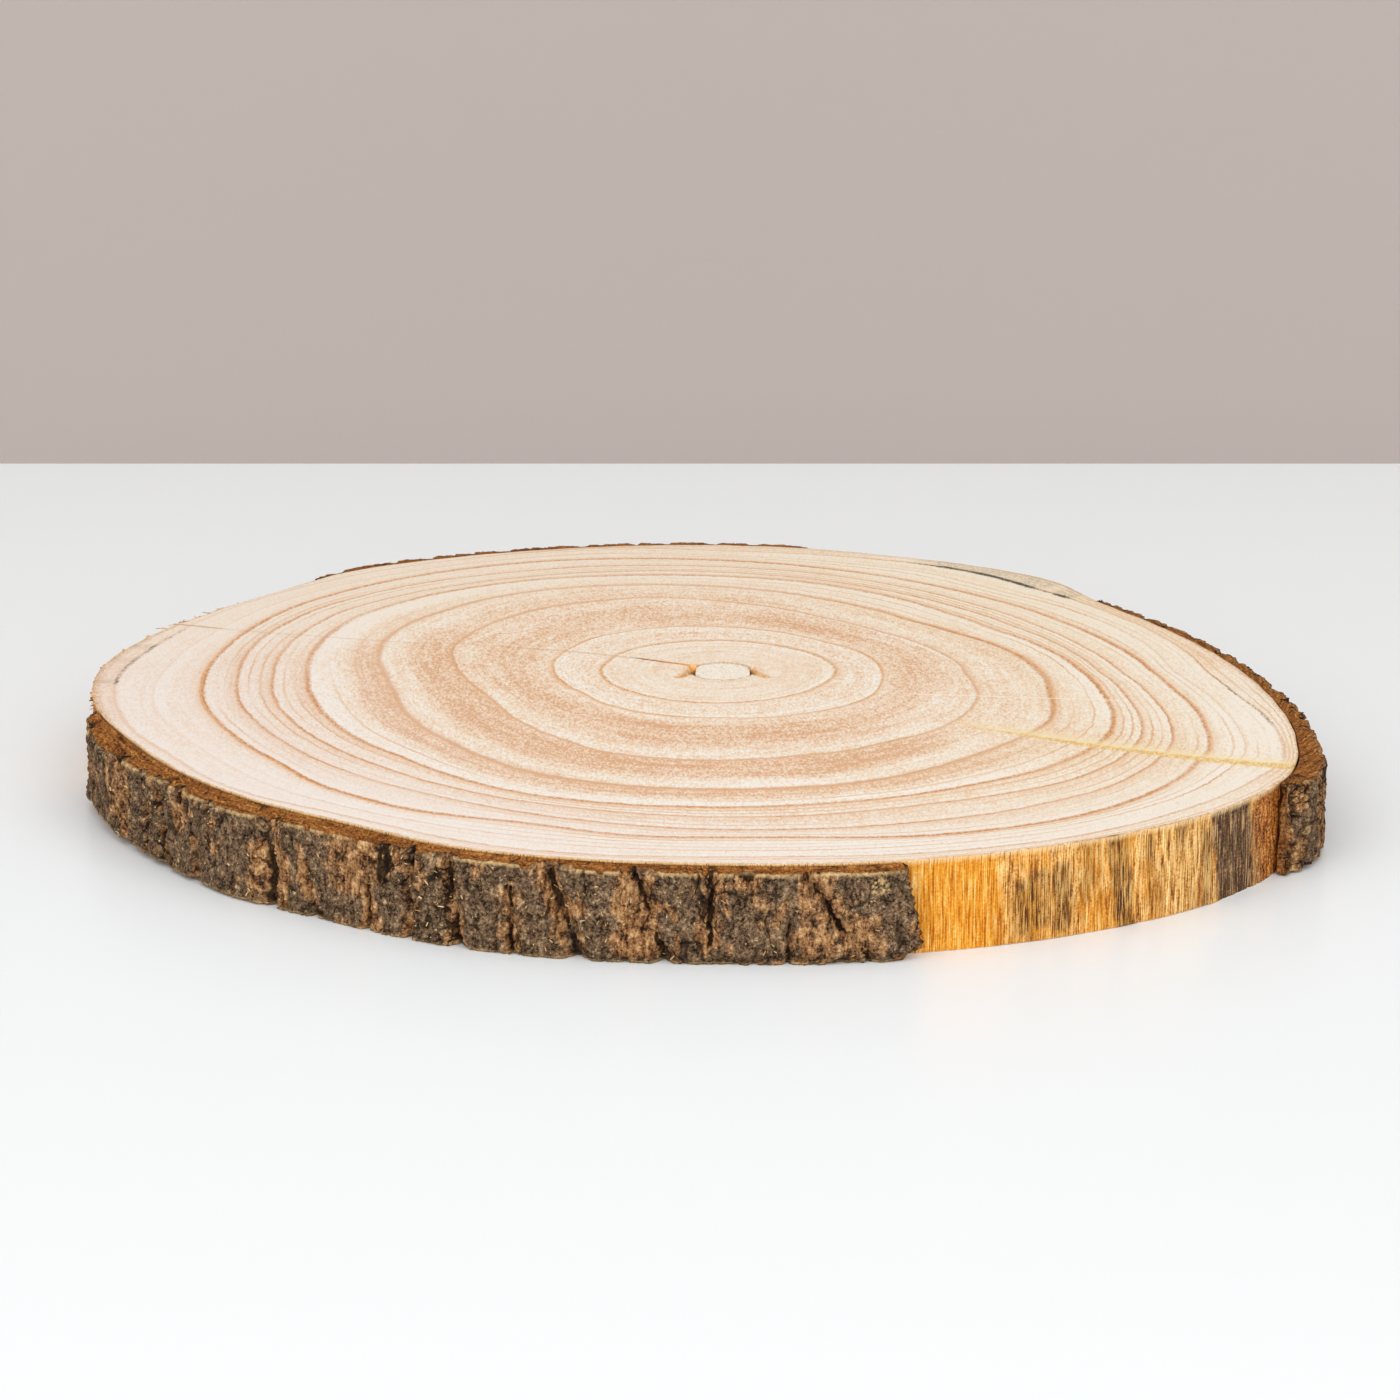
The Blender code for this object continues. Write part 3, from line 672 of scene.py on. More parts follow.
def stem_material(wood):
    """The bare side of the stem under the bark: silky grain up and down, golden where fresh, dark where weathered."""
    material, net, shader = new_material("bare stem wood", 0.6, 0.2)
    spot = net.node("ShaderNodeTexCoord").outputs["UV"]
    grain = net.group(streak_group(), Where=spot, Across=2300.0, Along=80.0)
    broken = net.group(streak_group(), Where=net.vector("ADD", spot, (0.3, 0.1, 0.0)), Across=900.0, Along=170.0)
    cloud = net.noise(spot, 90.0, 3.0)
    grit = net.noise(spot, 1400.0, 2.0)
    fibres = net.math("MULTIPLY_ADD", grain["Fine"], 0.6, net.math("MULTIPLY_ADD", broken["Fine"], 0.25, net.math("MULTIPLY", grit, 0.18)))
    tan = net.ramp(fibres, (
        (0.42, shade(98, 54, 18)), (0.465, shade(168, 106, 42)), (0.51, shade(214, 156, 80)), (0.55, shade(238, 188, 110)),
        (0.61, shade(252, 222, 162))))
    gold = net.ramp(fibres, (
        (0.42, shade(166, 88, 6)), (0.47, shade(206, 126, 16)), (0.52, shade(224, 148, 38)), (0.57, shade(236, 172, 70)),
        (0.63, shade(250, 212, 142))))
    streaky = net.math("MULTIPLY_ADD", net.math("SUBTRACT", cloud, 0.5), 1.4, net.math("MULTIPLY", net.math("SUBTRACT", broken["Broad"], 0.5), 1.6))
    golden = net.step(net.math("ADD", net.attribute("gold"), streaky), 0.1, 0.9)
    colour = net.mix(golden, tan, gold)
    drab = net.step(net.math("MULTIPLY_ADD", broken["Broad"], 0.7, net.math("MULTIPLY", cloud, 0.4)), 0.54, 0.7)
    colour = net.mix(net.math("MULTIPLY", net.math("MULTIPLY", drab, net.step(golden, 1.0, 0.2)), 0.28), colour, shade(166, 108, 48))
    rough_brown = net.ramp(net.math("MULTIPLY_ADD", grit, 0.5, net.math("MULTIPLY", broken["Fine"], 0.5)), (
        (0.4, shade(70, 32, 8)), (0.47, shade(140, 78, 24)), (0.53, shade(184, 110, 42)), (0.62, shade(232, 168, 92))))
    colour = net.mix(net.step(net.math("ADD", net.attribute("inner"), streaky), 0.3, 0.8), colour, rough_brown)
    worn = net.ramp(fibres, (
        (0.43, shade(22, 11, 5)), (0.47, shade(52, 32, 17)), (0.51, shade(86, 60, 38)), (0.55, shade(126, 94, 62)), (0.6, shade(198, 158, 112))))

    def spread_of(mark, field, reach):
        return net.math("ADD", net.attribute(mark), net.math("MULTIPLY", net.math("SUBTRACT", field, 0.5), reach))

    weathered = net.step(spread_of("weathered", grain["Fine"], 2.6), 0.3, 0.9)
    colour = net.mix(weathered, colour, worn)
    thin = net.step(fibres, 0.535, 0.47)
    specks = net.step(grit, 0.5, 0.62)
    blotch = net.step(net.math("ADD", spread_of("dark", grain["Fine"], 1.6), net.math("MULTIPLY", net.math("SUBTRACT", broken["Broad"], 0.5), 2.0)), 0.15, 0.9)
    blotch = net.math("MULTIPLY", blotch, net.math("ADD", net.math("MULTIPLY_ADD", thin, 0.6, 0.3), net.math("MULTIPLY", specks, 0.3)), clamp=True)
    colour = net.mix(blotch, colour, shade(62, 32, 12))
    edge = net.math("MULTIPLY", net.attribute("rim"), net.step(grain["Fine"], 0.3, 0.55))
    colour = net.mix(net.math("MULTIPLY", edge, 0.7), colour, shade(240, 206, 150))
    net.put(shader.inputs["Base Color"], colour)
    bump(net, shader, fibres, 0.8, 0.0005)
    net.put(shader.inputs["Roughness"], net.math("MULTIPLY_ADD", grain["Fine"], 0.35, 0.42))
    return material


def plug_material(wood):
    """End grain of the plug: paler and greyer than the disc, with its own fine rings."""
    material, net, shader = new_material("plug end grain", 0.65, 0.3)
    spot = net.node("ShaderNodeTexCoord").outputs["Object"]
    speckle = net.group(speckle_group(), Where=spot, Scale=1500.0, Share=0.4)
    from_heart = net.vector("MULTIPLY", net.vector("SUBTRACT", spot, tuple(PITH + Vector((0.004, -0.013, 0)))), (1.0, 1.0, 0.0))
    radius = net.vector("LENGTH", from_heart)
    ringed = net.math("SINE", net.math("MULTIPLY_ADD", radius, 3600.0, net.math("MULTIPLY", net.noise(spot, 160.0), 5.0)))
    weave = net.noise(net.vector("MULTIPLY", spot, (1500.0, 620.0, 400.0)), 1.0, 3.0, 0.7)
    tone = net.math("MULTIPLY_ADD", ringed, 0.1, net.math("MULTIPLY_ADD", speckle["Grit"], 0.9, net.math("MULTIPLY_ADD", weave, 2.0, -0.85)), clamp=True)
    colour = net.ramp(tone, (
        (0.2, shade(224, 208, 182)), (0.5, shade(240, 230, 212)), (0.75, shade(246, 239, 226)), (1.0, shade(250, 246, 238))))
    colour = net.mix(net.math("MULTIPLY", speckle["Dots"], 0.16), colour, shade(180, 150, 116))
    torn = net.math("MULTIPLY", net.attribute("torn"), net.step(speckle["Grit"], 0.3, 0.6), clamp=True)
    colour = net.mix(net.math("MULTIPLY", torn, 0.9), colour, shade(168, 116, 64))
    net.put(shader.inputs["Base Color"], colour)
    bump(net, shader, speckle["Grit"], 0.4, 0.0003)
    net.put(shader.inputs["Roughness"], net.math("MULTIPLY_ADD", speckle["Grit"], 0.3, 0.5))
    return material


def bark_material(bark):
    """Dry bark: grey-brown crust with grit, brown crumbly furrows, near black slits, a red-brown fibrous cut face. The
    slits, cracks and the pits of the cut face are painted darker by their depth, as painted shade.
    """
    material, net, shader = new_material("furrowed bark", 0.85, 0.12)
    places = net.node("ShaderNodeTexCoord")
    spot, unwrapped = places.outputs["Object"], places.outputs["UV"]
    speckle = net.group(speckle_group(), Where=spot, Scale=1000.0, Share=0.36)
    cloud = net.noise(spot, 120.0, 4.0, 0.6)
    crumbs = net.noise(spot, 1250.0, 3.0, 0.8)
    mottle = net.noise(spot, 340.0, 3.0, 0.65)
    fibres = net.group(streak_group(), Where=unwrapped, Across=760.0, Along=190.0)
    # How deep a place lies in a slit, crack or furrow, which sets the painted shade there.
    painted_hollow_shade = net.math("ADD", net.attribute("painted_hollow_shade"), net.math("MULTIPLY", net.math("SUBTRACT", crumbs, 0.5), 0.5))

    warp = net.vector("MULTIPLY", unwrapped, (1.0, 1.0, 0.0))
    warp = net.vector("ADD", warp, net.join(net.math("MULTIPLY", net.noise(spot, 300.0, 3.0), 0.005), net.math("MULTIPLY", cloud, 0.006), 0.0))
    torn = net.cells(net.vector("MULTIPLY", warp, (210.0, 130.0, 0.0)))
    crazed = net.math("MULTIPLY", net.step(torn, 0.055, 0.015), net.step(net.noise(spot, 70.0, 2.0), 0.46, 0.6))
    painted_hollow_shade = net.math("ADD", painted_hollow_shade, net.math("MULTIPLY", crazed, 0.7))
    crust = net.ramp(net.math("MULTIPLY_ADD", crumbs, 0.55, net.math("MULTIPLY_ADD", mottle, 0.35, net.math("MULTIPLY", fibres["Fine"], 0.1))), (
        (0.41, shade(32, 21, 14)), (0.455, shade(78, 58, 41)), (0.51, shade(114, 90, 67)), (0.565, shade(142, 115, 87)), (0.66, shade(214, 188, 150))))
    inner = net.ramp(net.math("MULTIPLY_ADD", crumbs, 0.35, net.math("MULTIPLY_ADD", fibres["Fine"], 0.35, net.math("MULTIPLY", mottle, 0.3))), (
        (0.42, shade(54, 30, 13)), (0.465, shade(122, 80, 46)), (0.51, shade(166, 118, 74)), (0.555, shade(200, 152, 102)), (0.62, shade(238, 200, 148))))
    peeled = net.math("ADD", net.attribute("inner"), net.math("MULTIPLY", net.math("SUBTRACT", cloud, 0.5), 1.3))
    showing = net.step(net.math("ADD", peeled, net.math("MULTIPLY", net.math("SUBTRACT", mottle, 0.5), 1.5)), 0.2, 0.85)
    colour = net.mix(net.math("MULTIPLY", showing, 0.85), crust, inner)
    # Painted shade: the deep slits, the open cracks and the net of fine cracks go near black by their depth.
    colour = net.mix(net.math("MULTIPLY", net.step(painted_hollow_shade, 0.45, 0.95), 0.88), colour, shade(26, 16, 10))
    grit = net.math("MULTIPLY", speckle["Dots"], net.step(painted_hollow_shade, 0.6, 0.3))
    colour = net.mix(net.math("MULTIPLY", grit, 0.5), colour, shade(216, 194, 158))

    grain = net.group(streak_group(), Where=net.vector("MULTIPLY", unwrapped, (1.0, 1.0, 0.0)), Across=60.0, Along=1400.0)
    cut = net.ramp(net.math("MULTIPLY_ADD", grain["Fine"], 0.45, net.math("MULTIPLY", crumbs, 0.55)), (
        (0.38, shade(56, 28, 10)), (0.46, shade(122, 72, 30)), (0.54, shade(170, 108, 50)), (0.66, shade(218, 160, 90))))
    # Painted shade in the pits of the crumbly cut face.
    cut = net.mix(net.math("MULTIPLY", net.step(painted_hollow_shade, 0.4, 0.85), 0.7), cut, shade(44, 26, 14))
    colour = net.mix(net.attribute("cut"), colour, cut)
    edge = net.math("MULTIPLY", net.attribute("edge"), net.step(crumbs, 0.3, 0.48), clamp=True)
    colour = net.mix(net.math("MULTIPLY", edge, 0.9), colour, tuple(bark.cork_colour))
    net.put(shader.inputs["Base Color"], colour)
    height = net.math("ADD", net.math("MULTIPLY", crumbs, 0.8), net.math("MULTIPLY", speckle["Grit"], 0.5))
    height = net.math("SUBTRACT", height, net.math("MULTIPLY", crazed, 0.6))
    bump(net, shader, height, 1.0, 0.0008)
    net.put(shader.inputs["Roughness"], net.math("MULTIPLY_ADD", crumbs, 0.3, 0.68))
    return material


def bast_material():
    """Shreds of inner bark: tan to dark brown."""
    material, net, shader = new_material("shredded inner bark", 0.8, 0.15)
    spot = net.node("ShaderNodeTexCoord").outputs["Object"]
    tint = net.noise(spot, 260.0, 2.0)
    net.put(shader.inputs["Base Color"], net.ramp(tint, (
        (0.38, shade(120, 78, 40)), (0.46, shade(196, 146, 86)), (0.55, shade(226, 182, 122)), (0.66, shade(242, 214, 166)))))
    return material


def sliver_material():
    """Pale slivers and crumbs of wood."""
    material, net, shader = new_material("pale slivers", 0.7, 0.2)
    spot = net.node("ShaderNodeTexCoord").outputs["Object"]
    net.put(shader.inputs["Base Color"], net.ramp(net.noise(spot, 300.0, 2.0), (
        (0.4, shade(196, 150, 92)), (0.6, shade(238, 208, 152)))))
    return material


def column_angles():
    """The angles of the disc's columns: close together along the bare side that is looked at, wider elsewhere."""
    start, stop = FINE_STRETCH
    fine = np.arange(start, stop, FINE_COLUMN_STEP)
    wide = np.arange(stop, start + 360, COLUMN_STEP)
    return np.append(np.concatenate((fine, wide)), start + 360)


def ring_table(angles, hole, rim):
    """The radius of every ring at every angle, in millimetres, with the hole first and the rim last."""
    table = [hole] + [along_round(ring.radii, angles, 3.0) for ring in RINGS] + [rim]
    table = np.array(table)
    for k in range(len(table) - 2, 0, -1):
        table[k] = np.minimum(table[k], table[k + 1] - 0.8)
    return table


def crack_depth(cut, x, y):
    """How deep a cut is at a place, and how near its middle the place is, 0 to 1."""
    away, place = to_line(cut.points, x, y)
    half = cut.half_width * (1 - 0.6 * smoothstep(0.6, 1.0, place))
    half *= 1 + 0.35 * noise.noise(Vector((x, y, 3.1)) * 0.9)
    inside = 1 - smoothstep(0.35 * half, half, abs(away))
    return cut.depth * inside, inside


class WoodSettings(bpy.types.PropertyGroup):
    """Sizes and colours of the sawn disc and its plug."""

    edge_wear: bpy.props.FloatProperty(
        name="Edge wear", description="How far the bare sawn edge is rounded", default=0.0009, unit="LENGTH")
    grain_depth: bpy.props.FloatProperty(
        name="Grain depth", description="Depth of the grooves down the bare side", default=0.00035, unit="LENGTH")
    line_colour: bpy.props.FloatVectorProperty(
        name="Ring line", description="Colour of the line that ends a year's growth", subtype="COLOR", size=3,
        default=shade(202, 136, 72))
    resin_colour: bpy.props.FloatVectorProperty(
        name="Resin", description="Colour of the yellow seam", subtype="COLOR", size=3,
        default=shade(246, 219, 146))


class BarkSettings(bpy.types.PropertyGroup):
    """Sizes and colours of the bark."""

    relief: bpy.props.FloatProperty(
        name="Relief", description="Depth of the small cracks and flakes", default=0.0011, unit="LENGTH")
    cork_colour: bpy.props.FloatVectorProperty(
        name="Cork edge", description="Colour of the sawn cork along the top edge", subtype="COLOR", size=3,
        default=shade(234, 196, 136))


class StageSettings(bpy.types.PropertyGroup):
    """Floor, backdrop and light."""

    floor_colour: bpy.props.FloatVectorProperty(
        name="Floor", description="Colour of the floor", subtype="COLOR", size=3, default=shade(245, 250, 252))
    backdrop_colour: bpy.props.FloatVectorProperty(
        name="Backdrop", description="Colour of the backdrop", subtype="COLOR", size=3, default=shade(176, 165, 160))
    light: bpy.props.FloatProperty(name="Light", description="Share of the full light", default=1.0, subtype="FACTOR")


class SLICE_OT_wood_disc(bpy.types.Operator):
    """Builds the sawn disc: rings, heart crack, worn rim and the grooved bare side"""

    bl_idname = "slice.wood_disc"
    bl_label = "Wood disc"

    def execute(self, context):
        wood = context.scene.slice_wood
        tree = tree_of("wood_disc")
        angles = column_angles()
        middle = TOP / 2
        rim = np.array([outer_radius(tree, a, middle) for a in angles]) / MM
        hole = np.array([inner_radius(tree, a, middle) for a in angles]) / MM
        hole = np.minimum(hole, 9.4)
        table = ring_table(angles, hole, rim)
        lines = np.array([along_round(ring.line, angles, 2.0) for ring in RINGS])
        rows = self.rows()
        columns = len(angles) - 1
        names = ("growth", "ring_mm", "line", "line_mm", "tone", "stain", "seam_mm", "seam", "seam_along", "split_mm", "split",
                 "scratch_mm", "scratch", "crack_mm", "crack", "crack_along", "torn", "dark", "rim", "gold", "weathered", "inner")
        points = np.zeros((columns + 1, len(rows), 3))
        unwrapped = np.zeros((columns + 1, len(rows), 2))
        marks = {name: np.zeros((columns + 1, len(rows))) for name in names}
        arc = np.concatenate(([0.0], np.cumsum(np.radians(np.diff(angles)) * rim[:-1] * MM)))
        for i, angle in enumerate(angles):
            way = heading(angle)
            wear = self.wear(angle, wood.edge_wear / MM)
            for j, (part, share) in enumerate(rows):
                growth, radius, height = self.place(part, share, table[:, i], wear)
                x, y = way.x * radius, way.y * radius
                found = self.marks_at(part, angle, growth, x, y, height, table[:, i], lines[:, i])
                if part in {"top", "bottom"}:
                    height += found.pop("sink", 0.0) * (-1 if part == "top" else 1)
                if part in {"side", "rim_top", "rim_bottom"}:
                    groove = noise.noise(Vector((arc[i] / MM * 0.9, height * 0.05, 2.0)))
                    broad = noise.noise(Vector((arc[i] / MM * 0.22, height * 0.03, 5.0)))
                    taken = wood.grain_depth / MM * (0.5 + 0.5 * groove) * (1 + 2.2 * found["weathered"])
                    taken += 0.3 * (0.5 + 0.5 * broad) + 0.4 * found["dark"] * max(0.0, groove)
                    taken += 1.1 * found["inner"] * max(0.0, noise.noise(Vector((arc[i] / MM * 0.8, height * 0.3, 8.0))))
                    radius -= taken * (1 - smoothstep(TOP / MM - 1.5, TOP / MM, height))
                    x, y = way.x * radius, way.y * radius
                found.pop("sink", None)
                points[i, j] = (PITH.x + x * MM, PITH.y + y * MM, height * MM)
                unwrapped[i, j] = (arc[i], height * MM)
                for key, value in found.items():
                    marks[key][i, j] = value
        points[-1] = points[0]
        disc = wrapped_grid("sawn_disc", columns, len(rows) - 1, points, unwrapped, marks)
        disc.data.materials.append(sawn_material(wood))
        disc.data.materials.append(stem_material(wood))
        for face in disc.data.polygons:
            flat = abs(face.normal.z) > 0.6
            near = (face.center - PITH).xy.length < 0.014
            face.material_index = 0 if flat or near else 1
        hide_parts("wood_disc")
        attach(disc, "root")
        return {"FINISHED"}

    @staticmethod
    def rows():
        """The rows of the section, from the hole over the top face, down the side and back under to the hole."""
        over = [("top", g) for g in HEART_ROWS]
        for ring in range(1, RIM_RING):
            count = ROWS_IN_RING[ring] if ring < len(ROWS_IN_RING) else 4
            over += [("top", ring + k / count) for k in range(count)]
        turn = [("rim_top", k / 4) for k in range(5)]
        down = [("side", k / SIDE_ROWS) for k in range(1, SIDE_ROWS)]
        turn_under = [("rim_bottom", k / 3) for k in range(4)]
        under = [("bottom", g / 2) for g in range(2 * RIM_RING - 1, 1, -1)] + [("bottom", g) for g in reversed(HEART_ROWS[::2])]
        bore = [("bore", k / HOLE_ROWS) for k in range(1, HOLE_ROWS)]
        return over + turn + down + turn_under + under + bore + [("top", 0.0)]

    @staticmethod
    def wear(angle, most):
        """How far the sawn edge is rounded at an angle, in millimetres."""
        bare = max(round_window(285, 323, 1, angle), round_window(36, 78, 2, angle), round_window(141, 193, 1, angle))
        nibbled = 0.5 + 0.5 * noise.noise(Vector((angle * 1.7, 0, 0))) + 0.35 * noise.noise(Vector((angle * 6.0, 3, 0)))
        return 0.25 + bare * most * max(0.1, nibbled)

    @staticmethod
    def place(part, share, radii, wear):
        """Growth, radius and height of one row, in rings and millimetres."""
        top = TOP / MM
        rim = radii[-1]
        if part in {"top", "bottom"}:
            ring = min(int(share), len(radii) - 2)
            radius = radii[ring] + (radii[ring + 1] - radii[ring]) * (share - ring)
            radius = min(radius, rim - wear - 0.05)
            return share, radius, top if part == "top" else 0.0
        if part == "rim_top":
            turn = math.radians(90 * share)
            return RIM_RING, rim - wear * (1 - math.sin(turn)), top - wear * (1 - math.cos(turn))
        if part == "rim_bottom":
            turn = math.radians(90 * (1 - share))
            return RIM_RING, rim - 0.5 * (1 - math.sin(turn)), 0.5 * (1 - math.cos(turn))
        if part == "side":
            return RIM_RING, rim, top - wear - (top - wear - 0.5) * share
        return 0.0, radii[0], top * share

    @staticmethod
    def marks_at(part, angle, growth, x, y, height, radii, lines):
        """The values that the materials read at one vertex."""
        ring = min(int(growth), len(radii) - 2)
        share = growth - ring
        strength = [0.0, *lines, 0.0]
        width = [0.5, *(r.width for r in RINGS), 0.5]
        found = {
            "growth": growth,
            "ring_mm": radii[ring + 1] - radii[ring],
            "line": strength[ring] + (strength[ring + 1] - strength[ring]) * share,
            "line_mm": width[ring] + (width[ring + 1] - width[ring]) * share,
            "tone": 0.0, "stain": 0.0, "torn": 0.0, "dark": 0.0, "rim": 0.0,
            "gold": 0.0, "weathered": 0.0, "inner": 0.0, "crack_mm": 9.0, "crack": 0.0, "crack_along": 1.0,
        }
        for band in BANDS:
            across = window(band.inner, band.outer, 0.14, growth)
            if across:
                found["tone"] += band.tone * across * round_window(band.start, band.stop, band.fade, angle)
        spotty = 1.1 + 0.8 * noise.noise(Vector((angle / 5.0, 2.0, 0)))
        found["stain"] = round_window(39, 63, 4, angle) * smoothstep(9.2, 9.7, growth) * spotty
        found["stain"] += 0.5 * round_window(341, 357, 4, angle) * smoothstep(9.2, 9.7, growth) * spotty
        found["stain"] += round_window(165, 184, 2, angle) * smoothstep(9.2, 9.7, growth) * (
            0.64 + 0.5 * noise.noise(Vector((angle * 0.4, 0, 8))))
        found["seam_mm"], place = to_line(RESIN_SEAM, x, y)
        found["seam"] = smoothstep(0.0, 0.35, place) * (1 if growth > 2.5 else 0)
        found["seam_along"] = place
        found["split_mm"], place = to_line(OLD_SPLIT, x, y)
        found["split"] = 0.24 + 0.15 * window(0.0, 0.2, 0.1, place) + 0.5 * smoothstep(0.8, 0.86, place)
        found["scratch_mm"], place = to_line(SCRATCH, x, y)
        found["scratch"] = window(0.02, 0.98, 0.01, place)
        if part in {"top", "bottom", "bore"} and growth < 1.0:
            depth, inside = crack_depth(HEART_CRACK, x, y)
            left, left_in = crack_depth(LEFT_TEAR, x, y)
            right, right_in = crack_depth(RIGHT_TEAR, x, y)
            found["sink"] = max(depth, left, right)
            away = math.hypot(x, y)
            picked = smoothstep(-0.05, 0.3, noise.noise(Vector((angle / 4.0, 4, 0))))
            glow = min(abs(to_line(tear.points, x, y)[0]) for tear in (LEFT_TEAR, RIGHT_TEAR))
            found["torn"] = max(left_in, right_in, 0.75 * (1 - smoothstep(0.9, 2.4, glow)), 0.3 * picked * (1 - smoothstep(0.0, 0.04, growth)))
            outline = 0.012 + 0.018 * picked + 0.05 * picked * round_window(200, 285, 12, angle)
            found["dark"] = max(0.42 * (1 - smoothstep(0.4 * outline, outline, growth)), max(left_in, right_in) * (1 - smoothstep(9.0, 10.2, away)))
            found["crack_mm"], place = to_line(HEART_CRACK.points, x, y)
            found["crack"] = 1 - smoothstep(0.85, 1.0, place)
            found["crack_along"] = place
            # The wall of the hole is torn wood, painted darker as painted shade in the gap round the plug.
            if part == "bore":
                found["torn"] = 1.0
                found["dark"] = 0.6
        if part in {"side", "rim_top", "rim_bottom"}:
            fall = TOP / MM - height
            for mark in SIDE_MARKS:
                lean = mark.lean * fall / (TOP / MM)
                bend = 0.5 * noise.noise(Vector((angle * 0.8, fall * 0.12, len(mark.kind))))
                across = round_window(mark.start + lean + bend, mark.stop + lean + bend, 4.5 if mark.kind == "gold" else 1.2, angle)
                if across:
                    found[mark.kind] = max(found[mark.kind], mark.strength * across * window(mark.top, mark.bottom, 5, fall))
        if part == "rim_top":
            found["rim"] = 1.0
        elif part == "top":
            found["rim"] = max(0.8 * smoothstep(10.72, 11.0, growth), round_window(141, 196, 2, angle) * smoothstep(10.5, 10.95, growth))
        return found


class SLICE_OT_pith_plug(bpy.types.Operator):
    """Builds the plug that is let into the pith, with its torn edge"""

    bl_idname = "slice.pith_plug"
    bl_label = "Pith plug"

    def execute(self, context):
        tree = tree_of("pith_plug")
        top = PLUG_HIGH.z / MM
        columns, over, down = 200, 30, 6
        rows = [(k / over, top) for k in range(over + 1)]
        rows += [(1.0, top * (1 - k / down)) for k in range(1, down + 1)]
        rows += [(1 - k / 6, 0.0) for k in range(1, 7)]
        angles = np.linspace(0, 360, columns + 1)
        points = np.zeros((columns + 1, len(rows), 3))
        unwrapped = np.zeros((columns + 1, len(rows), 2))
        torn = np.zeros((columns + 1, len(rows)))
        for i, angle in enumerate(angles):
            way = heading(angle)
            edge = outer_radius(tree, angle, PLUG_HIGH.z / 2) / MM
            for j, (share, height) in enumerate(rows):
                x, y = way.x * edge * share, way.y * edge * share
                near_edge = smoothstep(0.86, 1.0, share)
                ragged = 0.5 + 0.5 * noise.noise(Vector((x, y, height * 0.2)) * 0.7)
                sink = 0.0
                if height == top:
                    low_left = round_window(205, 280, 15, angle) * smoothstep(0.72, 0.95, share)
                    sink = 0.08 * ragged + near_edge * 0.35 * ragged + 0.35 * low_left * ragged
                    outline = smoothstep(0.93, 0.99, share) * smoothstep(0.0, 0.35, noise.noise(Vector((angle / 6.0, 9, 0))))
                    torn[i, j] = max(outline, low_left * ragged)
                squeeze = 1 - 0.02 * ragged * near_edge
                points[i, j] = (PITH.x + x * squeeze * MM, PITH.y + y * squeeze * MM, (height - sink) * MM)
                unwrapped[i, j] = (math.radians(angle) * edge * MM, height * MM)
        points[-1] = points[0]
        points[:, 0] = points[:, 0].mean(0)
        points[:, -1] = points[:, -1].mean(0)
        plug = wrapped_grid("heart_plug", columns, len(rows) - 1, points, unwrapped, {"torn": torn})
        plug.data.materials.append(plug_material(context.scene.slice_wood))
        bpy.ops.object.shade_smooth_by_angle(angle=math.radians(50))
        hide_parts("pith_plug")
        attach(plug, "root")
        return {"FINISHED"}


def bark_relief(s, z, seed):
    """Depth of the small cracks and flakes at a place on the bark, 0 to about 1, how open the crack is, and the lumps."""
    where = Vector((s, z, seed * 7.3))
    bent = where + noise.noise_vector(where / 5.0) * 1.9
    near = noise.voronoi(Vector((bent.x / 6.5, bent.y / 9.5, bent.z)))[0]
    crack = 1 - smoothstep(0.02, 0.13, near[1] - near[0])
    patchy = smoothstep(0.0, 0.35, noise.noise(Vector((s / 14, z / 14, seed + 0.5))))
    small = noise.voronoi(Vector((bent.x / 1.9, bent.y / 2.3, bent.z + 4)))[0]
    flake = 1 - smoothstep(0.02, 0.3, small[1] - small[0])
    rough = 0.5 + 0.5 * noise.fractal(where / 1.5, 0.8, 2.1, 3)
    lump = 0.5 + 0.5 * noise.fractal(where / 7.0, 0.9, 2.0, 2)
    wander = s + 1.6 * noise.noise(Vector((s / 5, z / 6, seed + 2)))
    upright = abs(noise.noise(Vector((wander / 6.5, z / 30, seed + 31))))
    cleft = (1 - smoothstep(0.012, 0.055, upright)) * smoothstep(-0.1, 0.2, noise.noise(Vector((s / 9, z / 15, seed + 5))))
    open_crack = max(crack * patchy, cleft)
    return 0.5 * open_crack + 0.5 * cleft + 0.22 * flake + 0.5 * rough + 0.45 * lump, open_crack, rough


